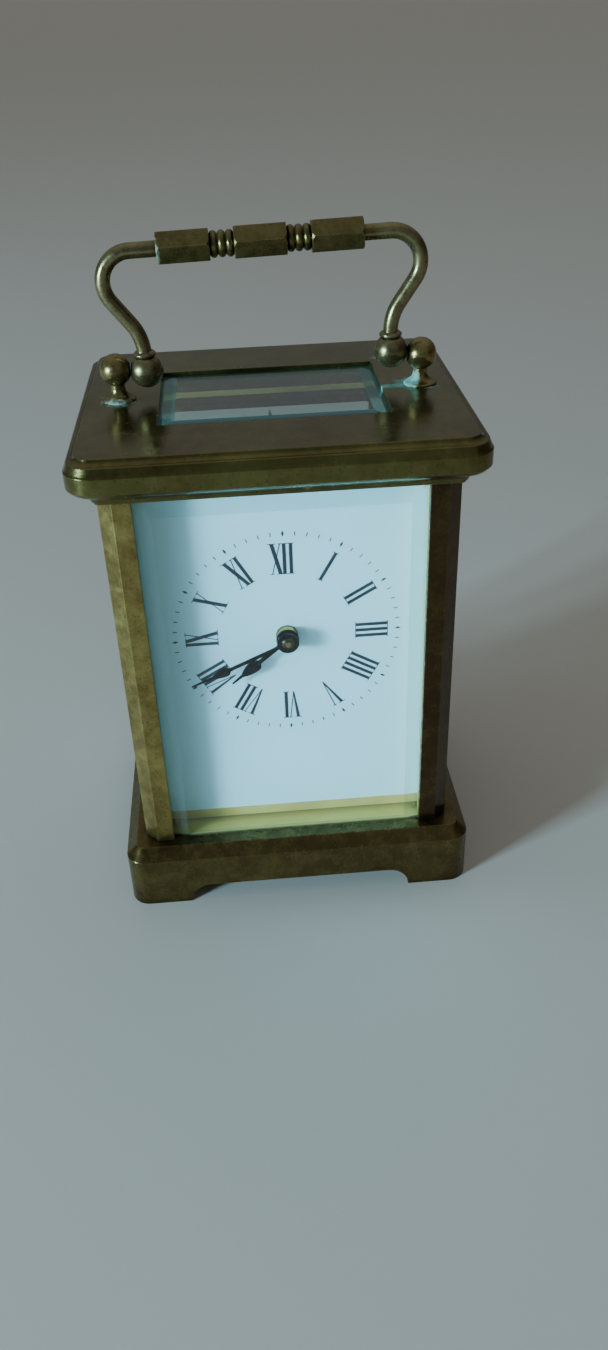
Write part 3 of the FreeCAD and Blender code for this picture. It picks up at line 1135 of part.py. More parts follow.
def third_and_contrate():
    """Third wheel and contrate wheel on their arbors."""
    body = node("third_wheel", THIRD_X, "0", THIRD_Z, ALONG_Y, str(TURNS["third"]))
    low = PLATE_REAR + " + 0.4"
    arbor(body, [("pivot_radius", "-plate_front + 0.1"), ("pivot_radius", PLATE_REAR + " + 0.2"),
                 ("0.9", PLATE_REAR + " + 0.2"), ("0.9", "-4.6"), ("1.6", "-4.6"),
                 ("1.6", "-2.6"), ("0.9", "-2.6"), ("0.9", BACK_FRONT + " - 0.2"),
                 ("pivot_radius", BACK_FRONT + " - 0.2"), ("pivot_radius", BACK_REAR)])
    leaves(body, "Y", "third_leaves", "centre_module", low, low + " + 1.9")
    wheel(body, "third_teeth", "third_module", "-4", "-3.2", "2.8", "1.4", 5)
    body = node("contrate_wheel", "0", "0", CONTRATE_Z, ALONG_Y, str(TURNS["contrate"]))
    arbor(body, [("pivot_radius", "-plate_front + 0.1"), ("pivot_radius", PLATE_REAR + " + 0.2"),
                 ("0.8", PLATE_REAR + " + 0.2"), ("0.8", "2.8"), ("1.5", "2.8"), ("1.5", "4.9"),
                 ("0.8", "4.9"), ("0.8", BACK_FRONT + " - 0.2"),
                 ("pivot_radius", BACK_FRONT + " - 0.2"), ("pivot_radius", BACK_REAR)])
    leaves(body, "Y", "contrate_leaves", "third_module", "-4.6", "-2.6")
    reach = pitch("contrate_teeth", "escape_module")
    tip = "(escape_y + escape_leaves * escape_module / 2 - 0.2)"
    add(body, "XZ", [("circle", "0", "0", reach + " + 0.6")], "3.4", "4.2")
    window = [("-1.15", "2.6"), ("-3.3", "6.0", "7.2", "right"), ("3.3", "6.0"), ("1.15", "2.6")]
    repeat(body, cut(body, "XZ", [window], "3.4", "4.2"), "Y", "4")
    add(body, "XZ", [("circle", "0", "0", reach + " + 0.6"), ("circle", "0", "0", reach + " - 0.6")],
        tip, "3.5")
    half = "escape_module * 3.1416 * %s"
    gap = [(half % 0.25, tip + " + 0.45"), (half % 0.265, tip + " + 0.2"),
           (half % 0.42, tip + " - 0.05")]
    gap = gap + [("-(%s)" % x, y) for x, y in reversed(gap)]
    repeat(body, cut(body, "XY", [gap], reach + " - 0.8", reach + " + 0.8"), "Y",
           "contrate_teeth")


# ---------------------------------------------------------------- platform
PLATFORM_LOW = "(base_height + plate_height)"
PLATFORM_TOP = "(base_height + plate_height + platform_thick)"
PALLET_Y = "(escape_y + pallet_reach)"
BALANCE_Y = "(escape_y + pallet_reach + balance_reach)"
FOOT_X = "(balance_radius + 4.2)"


def platform():
    """Platform plate with potence, bridge, cock and their screws."""
    body = node("platform_plate")
    corners = [(side, y) for side in (-1, 1) for y in ("-plate_front + plate_thick / 2",
                                                       BACK_FRONT + " + plate_thick / 2")]
    loops = [box("-platform_half", "platform_half", "-plate_front", BACK_REAR),
             ("circle", "0", "escape_y", "1.3"),
             ("circle", "0", PALLET_Y, "0.2 + pivot_play"),
             ("circle", "0", BALANCE_Y, "0.2 + pivot_play"),
             ("circle", FOOT_X, BALANCE_Y, "0.62"), ("circle", "3.3", "escape_y - 0.6", "0.5")]
    loops += [("circle", mirror(side, "(platform_half - 2)"), y, "0.7") for side, y in corners]
    loops += [("circle", mirror(side, "6.2"), "escape_y + 1.7", "0.52") for side in (-1, 1)]
    add(body, "XY", loops, PLATFORM_LOW, PLATFORM_TOP)
    fixing = screw(1.3, 0.8, 0.55, value("platform_thick") + 3.4)
    solids = [at(fixing, side * value("platform_half - 2"), value(y), value(PLATFORM_TOP),
                 spin=30 * side) for side, y in corners]
    potence = node("escape_potence", "0", "0", PLATFORM_LOW)
    add(potence, "XY", [box("2.3", "4.3", "escape_y - 1.8", "escape_y + 0.4")], "-5.8", "0")
    add(potence, "XY", [box("-1.3", "2.4", "escape_y - 1.0", "escape_y + 0.4")], "-5.8", "-4.8")
    cut(potence, "XY", [("circle", "0", "escape_y - 0.0001", "0.2 + pivot_play")], "-6", "-4")
    bridge = node("escape_bridge", "0", "0", PLATFORM_TOP)
    low = "3.0"
    add(bridge, "XY", [box("-8", "8", "escape_y - 0.4", PALLET_Y + " + 0.4"),
                       ("circle", "0", PALLET_Y, "0.2 + pivot_play")], low, "3.9")
    add(bridge, "XY", [box("-1.5", "1.5", "escape_y - 1.6", "escape_y - 0.3")], low, "3.9")
    add(bridge, "XY", [box("-1.5", "1.5", PALLET_Y + " + 0.3", PALLET_Y + " + 1.2")], low, "3.9")
    for side in (-1, 1):
        low_x, high_x = sorted((str(side * 4.4), str(side * 8)), key=value)
        add(bridge, "XY", [box(low_x, high_x, "escape_y - 0.4", "escape_y + 3.8")], "0", "3.1")
        cut(bridge, "XY", [("circle", str(side * 6.2), "escape_y + 1.7", "0.6")], "-1", "5")
    cut(bridge, "XY", [("circle", "0", "escape_y", "0.2 + pivot_play")], "2", "5")
    small = screw(1.0, 0.6, 0.5, 3.9 + value("platform_thick"))
    solids += [at(small, side * 6.2, value("escape_y + 1.7"), value(PLATFORM_TOP) + 3.9, spin=50)
               for side in (-1, 1)]
    cock = node("balance_cock", "0", BALANCE_Y, PLATFORM_TOP)
    add(cock, "XY", [box(FOOT_X + " - 2.2", FOOT_X + " + 2.2", "-2.6", "2.6")], "0", "8.3")
    add(cock, "XY", [[("0", "-2.0"), (FOOT_X + " + 2.2", "-2.6"), (FOOT_X + " + 2.2", "2.6"),
                      ("0", "2.0", "2.0", "left"), ("-2.0", "0", "2.0", "left")]], "8.2", "9.2")
    cut(cock, "XY", [("circle", "0", "0", "0.2 + pivot_play")], "8", "10")
    cut(cock, "XY", [("circle", FOOT_X, "0", "0.65")], "-1", "10")
    cut(cock, "XY", [("circle", "4.4", "0", "0.42")], "8", "10")
    turn(cock, "Z", [("0", "9.15"), ("1.0", "9.15"), ("1.0", "9.62"), ("1.35", "9.62"),
                     ("1.35", "9.85"), ("1.0", "10.05"), ("0", "10.05")])
    long_one = screw(1.4, 0.8, 0.6, 9.2 + value("platform_thick"))
    solids.append(at(long_one, value(FOOT_X), value(BALANCE_Y), value(PLATFORM_TOP) + 9.2,
                     spin=12))
    group("platform_screws", solids)
    regulator = node("regulator", "0", BALANCE_Y, PLATFORM_TOP)
    add(regulator, "XY", [("circle", "0", "0", "1.7"), ("circle", "0", "0", "1.0 + pivot_play")],
        "9.23", "9.6")
    add(regulator, "XY", [[("-0.5", "1.5"), ("0.5", "1.5"), ("0.12", "6.6"), ("-0.12", "6.6")]],
        "9.23", "9.6")


def escapement():
    """Escape wheel, lever, balance and hairspring."""
    body = node("escape_wheel", "0", "escape_y", PLATFORM_LOW)
    turn(body, "Z", [("0", "-5.7"), ("0.2", "-5.7"), ("0.2", "-4.7"), ("0.45", "-4.7"),
                     ("0.45", "platform_thick + 2.9"), ("0.2", "platform_thick + 2.9"),
                     ("0.2", "platform_thick + 3.8"), ("0", "platform_thick + 3.8")])
    leaves(body, "Z", "escape_leaves", "escape_module", "-3.0", "-0.4")
    low, high = "platform_thick + 1.0", "platform_thick + 1.4"
    add(body, "XY", [("circle", "0", "0", "escape_radius")], low, high)
    window = [("-0.55", "1.0"), ("-1.15", "1.75", "2.1", "right"), ("1.15", "1.75"),
              ("0.55", "1.0")]
    repeat(body, cut(body, "XY", [window], low, high), "Z", "4")
    club = [("-0.15", "escape_radius - 0.62"), ("0.42", "escape_radius - 0.66"),
            ("0.66", "escape_radius + 0.1"), ("-0.35", "escape_radius + 0.1")]
    tooth(body, "Z", "escape_teeth", club, low, high)
    lever = node("pallet_lever", "0", PALLET_Y, PLATFORM_TOP)
    outline = [("-0.45", "0.6"), ("-1.9", "0.1"), ("-2.5", "-0.1"), ("-2.5", "-0.5"),
               ("-1.75", "-0.5"), ("-1.3", "-0.3"), ("1.3", "-0.3"), ("1.75", "-0.5"),
               ("2.5", "-0.5"), ("2.5", "-0.1"), ("1.9", "0.1"), ("0.45", "0.6"),
               ("0.22", "1.3"), ("0.75", "1.75"), ("0.75", "2.45"), ("0.42", "2.45"),
               ("0.42", "1.85"), ("-0.42", "1.85"), ("-0.42", "2.45"), ("-0.75", "2.45"),
               ("-0.75", "1.75"), ("-0.22", "1.3")]
    add(lever, "XY", [outline], "0.95", "1.45")
    turn(lever, "Z", [("0", "-0.9"), ("0.2", "-0.9"), ("0.2", "0.1"), ("0.4", "0.1"),
                      ("0.4", "2.9"), ("0.2", "2.9"), ("0.2", "3.8"), ("0", "3.8")])
    stones = []
    for side in (-1, 1):
        stone = Part.makeBox(0.34, 0.66, 0.5, Vector(side * 2.15 - 0.17, -1.16, 0.95))
        stone.Placement = Placement(Vector(0, value(PALLET_Y), value(PLATFORM_TOP)), Rotation())
        stones.append(stone)
    group("pallet_stones", stones)
    balance = node("balance_wheel", "0", BALANCE_Y, PLATFORM_TOP)
    add(balance, "XY", [("circle", "0", "0", "balance_radius"),
                        ("circle", "0", "0", "balance_radius - 0.8")], "4.9", "5.9")
    add(balance, "XY", [box("-(balance_radius - 0.4)", "balance_radius - 0.4", "-0.5", "0.5")],
        "5.2", "5.7")
    add(balance, "XY", [("circle", "0", "0", "1.2")], "5.1", "5.9")
    stud = add(balance, "YZ", [("circle", "0", "5.4", "0.32")], "balance_radius - 0.3",
               "balance_radius + 0.5")
    repeat(balance, stud, "Z", "12")
    cut(balance, "XY", [("circle", "0", "0", "0.6 + fixed_play")], "4", "7")
    staff = node("balance_staff", "0", BALANCE_Y, PLATFORM_TOP)
    turn(staff, "Z", [("0", "-1.0"), ("0.2", "-1.0"), ("0.2", "0.15"), ("0.45", "0.15"),
                      ("0.45", "2.3"), ("1.5", "2.3"), ("1.5", "2.7"), ("0.45", "2.7"),
                      ("0.45", "4.9"), ("0.6", "4.9"), ("0.6", "6.0"), ("0.45", "6.0"),
                      ("0.45", "6.2"), ("0.88", "6.2"), ("0.88", "6.8"), ("0.45", "6.8"),
                      ("0.45", "8.0"), ("0.2", "8.0"), ("0.2", "9.0"), ("0", "9.0")])
    add(staff, "XY", [("circle", "0", "-1.2", "0.18")], "1.6", "2.4")
    coil = spiral(1.0, 4.4, 8, 0.12, 0, 0.5)
    stud_pin = Part.makeCylinder(0.4, 3.2, Vector(4.4, 0, -0.2))
    hair = coil.fuse(stud_pin)
    hair.Placement = Placement(Vector(0, value(BALANCE_Y), value(PLATFORM_TOP) + 6.2), Rotation())
    group("hairspring", [hair])


base_plinth()
pillar("pillar_front_left", -1, -1)
pillar("pillar_front_right", 1, -1)
pillar("pillar_rear_left", -1, 1)
pillar("pillar_rear_right", 1, 1)
deck_screws()
cornice()
glasses()
top_glass_retainer()
door()
for name, side in (("left", -1), ("right", 1)):
    finial("finial_" + name, side)
    handle_ball("handle_ball_" + name, side)
    handle_arm("handle_arm_" + name, side)
handle_pivots()
handle_grip()
dial()
hand("hour_hand", "hour_turn", "hour_length", "hour_plane", 2.5, "1.5 + fixed_play", 0.45,
     8.3, 13.4, 1.4)
hand("minute_hand", "minute_turn", "minute_length", "minute_plane", 2.4,
     "collet_bush + fixed_play", 0.36, 14.2, 18.3, 1.15)
plates()
centre_group()
barrel_group()
click()
third_and_contrate()
platform()
escapement()

doc.recompute()
os.makedirs("parts", exist_ok=True)
faults = []
for item in doc.Objects:
    if "Invalid" in item.State or "Error" in item.State:
        faults.append("%s state %s" % (item.Label, item.State))
for item in NODES:
    if item.Shape.isNull() or not item.Shape.isValid() or not item.Shape.Solids:
        faults.append("%s has no sound solid" % item.Label)
    elif item.TypeId == "PartDesign::Body" and len(item.Shape.Solids) != 1:
        faults.append("%s is %d solids" % (item.Label, len(item.Shape.Solids)))
if faults:
    raise RuntimeError("; ".join(faults))
for item in NODES:
    item.Shape.exportStep("parts/%s.step" % item.Label)
print("%d sub-parts written" % len(NODES))
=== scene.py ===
import math

import bmesh
import bpy
from mathutils import Euler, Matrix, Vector


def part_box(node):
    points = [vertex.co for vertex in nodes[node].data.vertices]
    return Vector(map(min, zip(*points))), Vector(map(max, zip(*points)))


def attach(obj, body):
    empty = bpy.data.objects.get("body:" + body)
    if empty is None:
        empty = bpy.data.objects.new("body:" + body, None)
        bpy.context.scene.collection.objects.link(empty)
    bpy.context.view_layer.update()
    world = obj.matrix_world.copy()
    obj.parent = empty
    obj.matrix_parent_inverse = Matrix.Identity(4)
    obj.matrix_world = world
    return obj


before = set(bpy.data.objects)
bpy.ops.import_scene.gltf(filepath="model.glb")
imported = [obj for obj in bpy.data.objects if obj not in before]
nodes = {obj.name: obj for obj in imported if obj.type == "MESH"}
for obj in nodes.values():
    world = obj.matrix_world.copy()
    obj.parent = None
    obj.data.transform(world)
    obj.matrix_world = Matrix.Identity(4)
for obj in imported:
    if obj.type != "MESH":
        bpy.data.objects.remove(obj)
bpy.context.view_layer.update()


# Plinth: one hollow brass casting on four bracket feet, filed, lacquered and long handled. The
# lacquer has gone and the metal has turned olive and brown, bright only along its edges.

def linear(text):
    """sRGB hex colour as linear red, green, blue and alpha."""
    parts = [int(text[place:place + 2], 16) / 255 for place in (1, 3, 5)]
    return tuple(part / 12.92 if part <= 0.04045 else ((part + 0.055) / 1.055) ** 2.4
                 for part in parts) + (1.0,)


def add(tree, kind, links=None, stops=None, **settings):
    """One shader node with its settings, its colour stops and its links or values."""
    made = tree.nodes.new(kind)
    for name, setting in settings.items():
        setattr(made, name, setting)
    if stops:
        ramp = made.color_ramp
        while len(ramp.elements) < len(stops):
            ramp.elements.new(0.5)
        for element, (place, colour) in zip(ramp.elements, stops):
            element.position = place
            element.color = colour
    for name, source in (links or {}).items():
        if isinstance(source, bpy.types.NodeSocket):
            tree.links.new(source, made.inputs[name])
        else:
            made.inputs[name].default_value = source
    return made


def finish(name):
    """Empty material with its tree, its shader and the place of each point on the object."""
    made = bpy.data.materials.new(name)
    made.use_nodes = True
    tree = made.node_tree
    tree.nodes.clear()
    shader = add(tree, "ShaderNodeBsdfPrincipled")
    add(tree, "ShaderNodeOutputMaterial", {"Surface": shader.outputs[0]})
    return made, tree, shader, add(tree, "ShaderNodeTexCoord").outputs["Object"]


def dress(material, *names):
    """Give CAD nodes a material."""
    for name in names:
        piece = nodes[name]
        piece.data.materials.clear()
        piece.data.materials.append(material)


# The room shut in by the four glasses and the door
GLASS_SKIN = 0.0002
SHUT_LOW = Vector((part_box("left_glass")[1].x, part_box("front_glass")[1].y - GLASS_SKIN,
                   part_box("front_glass")[0].z))
SHUT_HIGH = Vector((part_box("right_glass")[0].x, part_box("door_frame")[0].y,
                    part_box("front_glass")[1].z))


def old_brass(name, bright, olive, brown, worn=0.5, rough=0.22, crusts=(), shut_in=1.0):
    """Brass under an old patina: olive and brown clouds, rubbed spots and edges, and hollows
    darkened by grime and painted shade.
    """
    made, tree, shader, place = finish(name)
    # tarnish in clouds 15 mm across
    clouds = add(tree, "ShaderNodeTexNoise", {"Vector": place, "Scale": 65.0, "Detail": 7.0,
                                              "Roughness": 0.66, "Distortion": 0.5})
    cloud = add(tree, "ShaderNodeMapRange", {"Value": clouds.outputs[0], 1: 0.30, 2: 0.70})
    base = add(tree, "ShaderNodeMix", {0: cloud.outputs[0], 6: linear(olive), 7: linear(brown)},
               data_type="RGBA")
    # finger marks and rubbed spots 2 to 4 mm across
    rubs = add(tree, "ShaderNodeTexNoise", {"Vector": place, "Scale": 310.0, "Detail": 6.0,
                                            "Roughness": 0.72})
    rub = add(tree, "ShaderNodeMapRange", {"Value": rubs.outputs[0], 1: 0.45, 2: 0.85, 4: worn})
    base = add(tree, "ShaderNodeMix", {0: rub.outputs[0], 6: base.outputs[2], 7: linear(bright)},
               data_type="RGBA")
    # freckles of oxide, drawn a millimetre apart, coarser than they are, so that they show
    pits = add(tree, "ShaderNodeTexVoronoi", {"Vector": place, "Scale": 900.0})
    freckle = add(tree, "ShaderNodeMapRange", {"Value": pits.outputs["Distance"], 1: 0.30,
                                               2: 0.08})
    thin = add(tree, "ShaderNodeMath", {0: freckle.outputs[0], 1: clouds.outputs[0]},
               operation="MULTIPLY")
    base = add(tree, "ShaderNodeMix", {0: thin.outputs[0], 6: base.outputs[2],
                                       7: linear("#241a10")}, data_type="RGBA")
    # faces shut in behind the glass, out of reach of hands and damp, have stayed yellow
    inside = add(tree, "ShaderNodeMapping", {"Vector": place,
                                             "Location": (SHUT_LOW + SHUT_HIGH) / 2,
                                             "Scale": (SHUT_HIGH - SHUT_LOW) / 2},
                 vector_type="TEXTURE")
    away = add(tree, "ShaderNodeVectorMath", {0: inside.outputs[0]}, operation="ABSOLUTE")
    sides = add(tree, "ShaderNodeSeparateXYZ", {0: away.outputs[0]})
    wide = add(tree, "ShaderNodeMath", {0: sides.outputs[0], 1: sides.outputs[1]},
               operation="MAXIMUM")
    most = add(tree, "ShaderNodeMath", {0: wide.outputs[0], 1: sides.outputs[2]},
               operation="MAXIMUM")
    kept = add(tree, "ShaderNodeMath", {0: most.outputs[0], 1: shut_in},
               operation="LESS_THAN").outputs[0]
    base = add(tree, "ShaderNodeMix", {0: kept, 6: base.outputs[2], 7: linear("#d6c374")},
               data_type="RGBA")
    # grime held in the hollows of the mouldings, with painted shade: the colour darkens where
    # ambient occlusion finds a hollow
    hollow = add(tree, "ShaderNodeAmbientOcclusion", {"Distance": 0.004}, samples=4)
    grime_and_shade = add(tree, "ShaderNodeMapRange", {"Value": hollow.outputs["AO"], 1: 0.80, 2: 0.40,
                                             4: 0.85})
    base = add(tree, "ShaderNodeMix", {0: grime_and_shade.outputs[0], 6: base.outputs[2],
                                       7: linear("#1c160d")}, data_type="RGBA")
    # edges polished by handling, found where the rounded normal leaves the true one
    round_edge = add(tree, "ShaderNodeBevel", {"Radius": 0.0003}, samples=6)
    true_face = add(tree, "ShaderNodeNewGeometry")
    match = add(tree, "ShaderNodeVectorMath", {0: round_edge.outputs[0],
                                               1: true_face.outputs["Normal"]},
                operation="DOT_PRODUCT")
    edge = add(tree, "ShaderNodeMapRange", {"Value": match.outputs["Value"], 1: 0.995, 2: 0.90,
                                            4: 1.1})
    broken = add(tree, "ShaderNodeMath", {0: edge.outputs[0], 1: rubs.outputs[0]},
                 operation="MULTIPLY", use_clamp=True)
    base = add(tree, "ShaderNodeMix", {0: broken.outputs[0], 6: base.outputs[2],
                                       7: linear(bright)}, data_type="RGBA")
    colour = base.outputs[2]
    gloss = add(tree, "ShaderNodeMapRange", {"Value": rubs.outputs[0], 1: 0.3, 2: 0.7,
                                             3: rough - 0.05, 4: rough + 0.14}).outputs[0]
    shine = add(tree, "ShaderNodeMapRange", {"Value": thin.outputs[0], 3: 0.88,
                                             4: 0.45}).outputs[0]
    shine = add(tree, "ShaderNodeMix", {0: kept, 2: shine, 3: 0.4}).outputs[0]
    gloss = add(tree, "ShaderNodeMix", {0: kept, 2: gloss, 3: 0.45}).outputs[0]
    height = add(tree, "ShaderNodeMath", {0: thin.outputs[0], 1: -0.5, 2: rubs.outputs[0]},
                 operation="MULTIPLY_ADD").outputs[0]
    for centre, reach, tone in crusts:
        # powdery copper salts creeping from a joint, broken up at half a millimetre
        near = add(tree, "ShaderNodeMapping", {"Vector": place, "Location": centre,
                                               "Scale": reach}, vector_type="TEXTURE")
        far = add(tree, "ShaderNodeVectorMath", {0: near.outputs[0]}, operation="LENGTH")
        ragged = add(tree, "ShaderNodeTexNoise", {"Vector": place, "Scale": 520.0, "Detail": 8.0,
                                                  "Roughness": 0.78})
        spread = add(tree, "ShaderNodeMath", {0: ragged.outputs[0], 1: 2.6,
                                              2: far.outputs["Value"]}, operation="MULTIPLY_ADD")
        crust = add(tree, "ShaderNodeMapRange", {"Value": spread.outputs[0], 1: 2.25,
                                                 2: 1.85}).outputs[0]
        powder = add(tree, "ShaderNodeMapRange", {"Value": pits.outputs["Distance"], 1: 0.3,
                                                  2: 1.0})
        salts = add(tree, "ShaderNodeMix", {0: powder.outputs[0], 6: linear(tone),
                                            7: linear("#a8c4b6")}, data_type="RGBA")
        colour = add(tree, "ShaderNodeMix", {0: crust, 6: colour, 7: salts.outputs[2]},
                     data_type="RGBA").outputs[2]
        gloss = add(tree, "ShaderNodeMix", {0: crust, 2: gloss, 3: 0.9}).outputs[0]
        shine = add(tree, "ShaderNodeMix", {0: crust, 2: shine, 3: 0.0}).outputs[0]
        height = add(tree, "ShaderNodeMath", {0: crust, 1: 1.5, 2: height},
                     operation="MULTIPLY_ADD").outputs[0]
    # long fine scratches from polishing cloths
    drawn = add(tree, "ShaderNodeMapping", {"Vector": place, "Rotation": (0.3, 0.5, 0.4),
                                            "Scale": (1.0, 14.0, 14.0)})
    lines = add(tree, "ShaderNodeTexNoise", {"Vector": drawn.outputs[0], "Scale": 190.0,
                                             "Detail": 3.0})
    relief = add(tree, "ShaderNodeMath", {0: lines.outputs[0], 1: 0.35, 2: height},
                 operation="MULTIPLY_ADD")
    bump = add(tree, "ShaderNodeBump", {"Strength": 0.13, "Distance": 0.0002,
                                        "Height": relief.outputs[0],
                                        "Normal": round_edge.outputs[0]})
    for socket, source in (("Base Color", colour), ("Metallic", shine), ("Roughness", gloss),
                           ("Normal", bump.outputs[0])):
        tree.links.new(source, shader.inputs[socket])
    return made


# dark and glossy: olive and brown in clouds, lighter where it has been wiped
plinth_brass = old_brass("cast brass, olive patina", "#a08c52", "#6e5f36", "#4c3a20", 0.35)
dress(plinth_brass, "base_plinth")


# Pillars: square drawn brass with the outer corner planed off, tenoned into the cornice and held
# from below by screws. The left front one is rubbed and freckled where a hand takes hold, and is
# also painted lighter, as if lit by the window on its left; the others are painted darker, as in
# shade.

# chocolate brown and glossy, with little yellow left; partly patina, partly painted shade and a
# painted dark reflection
shaded_brown_brass = old_brass("drawn brass, brown patina, painted shade", "#8c7242", "#523f26", "#3c2818", 0.3, 0.2)
# worn back to yellow-green metal, with dark freckles; the light yellow is partly wear, partly a
# painted highlight
rubbed_lit_brass = old_brass("drawn brass, freckled, painted highlight", "#c6b26c", "#9c8b4e", "#745a30",
                         0.7, 0.28)
dress(shaded_brown_brass, "pillar_front_right", "pillar_rear_left", "pillar_rear_right")
dress(rubbed_lit_brass, "pillar_front_left")


# Screws and pins: turned steel, polished and lightly oiled, with slots cut across their heads.
# They hold the pillars, the movement and the top glass.

def bright_steel(name, tone="#8f9296", rough=0.22, scale=260.0):
    """Turned and polished steel with fine scratches and a trace of rust."""
    made, tree, shader, place = finish(name)
    marks = add(tree, "ShaderNodeTexNoise", {"Vector": place, "Scale": scale, "Detail": 6.0,
                                             "Roughness": 0.7})
    tint = add(tree, "ShaderNodeMapRange", {"Value": marks.outputs[0], 1: 0.45, 2: 0.8, 4: 0.7})
    colour = add(tree, "ShaderNodeMix", {0: tint.outputs[0], 6: linear(tone),
                                         7: linear("#5a4a38")}, data_type="RGBA")
    gloss = add(tree, "ShaderNodeMapRange", {"Value": marks.outputs[0], 1: 0.3, 2: 0.7,
                                             3: rough - 0.06, 4: rough + 0.12})
    bump = add(tree, "ShaderNodeBump", {"Strength": 0.08, "Distance": 0.0001,
                                        "Height": marks.outputs[0]})
    shader.inputs["Metallic"].default_value = 1.0
    for socket, source in (("Base Color", colour.outputs[2]), ("Roughness", gloss.outputs[0]),
                           ("Normal", bump.outputs[0])):
        tree.links.new(source, shader.inputs[socket])
    return made


# cool grey, mirror-like with a few brown specks
dress(bright_steel("turned steel, polished"), "deck_screws", "retainer_screws",
      "door_hinge_pins", "handle_pivots", "plate_screws", "platform_screws", "click_screws")


# Cornice and finials: a moulded brass top with a sunk opening for its glass, and two turned ball
# finials studded into it. Verdigris has crept out from under the right finial.

left_foot, right_foot = [(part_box(name)[0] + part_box(name)[1]) / 2
                         for name in ("finial_left", "finial_right")]
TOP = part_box("cornice")[1].z
glass_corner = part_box("top_glass")[1]
VERDIGRIS, TARNISH = "#5f9c90", "#7f8a76"
# dark olive with a wet gloss, crusted turquoise from the right finial towards the glass
cornice_brass = old_brass("cast brass, green and brown patina", "#9c8e52", "#706a3c", "#584b28",
                          0.35, 0.17, [
    ((right_foot.x - 0.001, right_foot.y, TOP), (0.0055, 0.0047, 0.003), VERDIGRIS),
    ((right_foot.x - 0.0075, right_foot.y - 0.0010, TOP), (0.0050, 0.0016, 0.002), VERDIGRIS),
    ((left_foot.x, left_foot.y - 0.0005, TOP), (0.0047, 0.0044, 0.003), TARNISH),
    ((glass_corner.x, glass_corner.y, TOP), (0.0022, 0.0018, 0.003), TARNISH)])
# greener yellow and rubbed, with salts in the hollow of the neck
finial_brass = old_brass("turned brass, rubbed", "#bca76e", "#8c7d4e", "#6c5a35", 0.5, 0.22, [
    ((right_foot.x - 0.0022, right_foot.y - 0.0008, TOP + 0.0012), (0.0024, 0.0032, 0.0030),
     VERDIGRIS),
    ((left_foot.x, left_foot.y - 0.0030, TOP), (0.0040, 0.0024, 0.0011), TARNISH)])
dress(cornice_brass, "cornice", "top_glass_retainer")
dress(finial_brass, "finial_left", "finial_right")


# Glasses: thick plate with ground and polished bevels, faintly green through the edge. Four slide
# in grooves of the pillars, and the top one is held up under its ledge.

def plate_glass(name, face, bevel_tone_and_reflection, clear):
    """Plate glass: dusty clear faces, and bevels that are tinted and less clear, partly a duller
    polish and partly a painted reflection.
    """
    made, tree, shader, place = finish(name)
    shader.inputs["IOR"].default_value = 1.52
    # a face lies square to the plate, and a bevel doesn't
    true_face = add(tree, "ShaderNodeNewGeometry")
    size = add(tree, "ShaderNodeVectorMath", {0: true_face.outputs["True Normal"]},
               operation="ABSOLUTE")
    parts = add(tree, "ShaderNodeSeparateXYZ", {0: size.outputs[0]})
    wide = add(tree, "ShaderNodeMath", {0: parts.outputs[0], 1: parts.outputs[1]},
               operation="MAXIMUM")
    square = add(tree, "ShaderNodeMath", {0: wide.outputs[0], 1: parts.outputs[2]},
                 operation="MAXIMUM")
    bevel = add(tree, "ShaderNodeMapRange", {"Value": square.outputs[0], 1: 0.9998, 2: 0.9985})
    wipes = add(tree, "ShaderNodeTexNoise", {"Vector": place, "Scale": 45.0, "Detail": 6.0,
                                             "Roughness": 0.75})
    # wiping leaves streaks of a few centimetres, just enough to soften a reflection
    haze = add(tree, "ShaderNodeMapRange", {"Value": wipes.outputs[0], 1: 0.5, 2: 0.8, 4: 0.03})
    # bevels take a tint and less clearness: partly a duller polish, partly a painted reflection
    colour = add(tree, "ShaderNodeMix", {0: bevel.outputs[0], 6: linear(face),
                                         7: linear(bevel_tone_and_reflection)}, data_type="RGBA")
    gloss = add(tree, "ShaderNodeMath", {0: bevel.outputs[0], 1: 0.07, 2: haze.outputs[0]},
                operation="MULTIPLY_ADD")
    through = add(tree, "ShaderNodeMapRange", {"Value": bevel.outputs[0], 3: 1.0, 4: clear})
    for socket, source in (("Base Color", colour.outputs[2]), ("Roughness", gloss.outputs[0]),
                           ("Transmission Weight", through.outputs[0])):
        tree.links.new(source, shader.inputs[socket])
    return made


# colourless on its face, grey-green along the bevels, partly a painted reflection
side_glass = plate_glass("bevelled plate glass", "#f4fbf9", "#c9dcdc", 0.96)
dress(side_glass, "front_glass", "left_glass", "right_glass", "door_glass")
# thicker, with watery turquoise bevels, partly the tint of thick glass and partly a painted
# reflection of window and ceiling
dress(plate_glass("thick bevelled plate glass", "#d8e6e6", "#68bcb8", 0.74), "top_glass")
for name in ("front_glass", "left_glass", "right_glass", "door_glass", "top_glass"):
    nodes[name].visible_shadow = False


# Rear door: a brass frame round its own glass, hung on two pins, with a small turned knob.

# the frame takes the pillars' darker brass, with its painted shade
dress(shaded_brown_brass, "door_frame")
dress(finial_brass, "door_knob")


# Handle: two bent brass bars with turned balls at their feet and a hexagonal grip with turned
# beads between, the part most rubbed by hands.

grip_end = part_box("handle_grip")[0]
grip_brass = old_brass("filed brass, hand worn", "#a8965f", "#746a40", "#5a4a2a", 0.4, 0.24, [
    ((grip_end.x, 0, grip_end.z + 0.0035), (0.0009, 0.0040, 0.0040), TARNISH)])
# the bars keep a softer, greyer shine than the grip
bar_brass = old_brass("bent brass bar, hand worn", "#b8a87a", "#8a7f58", "#6c5e40", 0.5, 0.24)
dress(grip_brass, "handle_grip")
dress(bar_brass, "handle_arm_left", "handle_arm_right", "handle_ball_left", "handle_ball_right")


# Dial: white enamel fired on copper, slightly cool and glossy, with fired black Roman hours, their
# feet to the centre, and a track of sixty strokes.

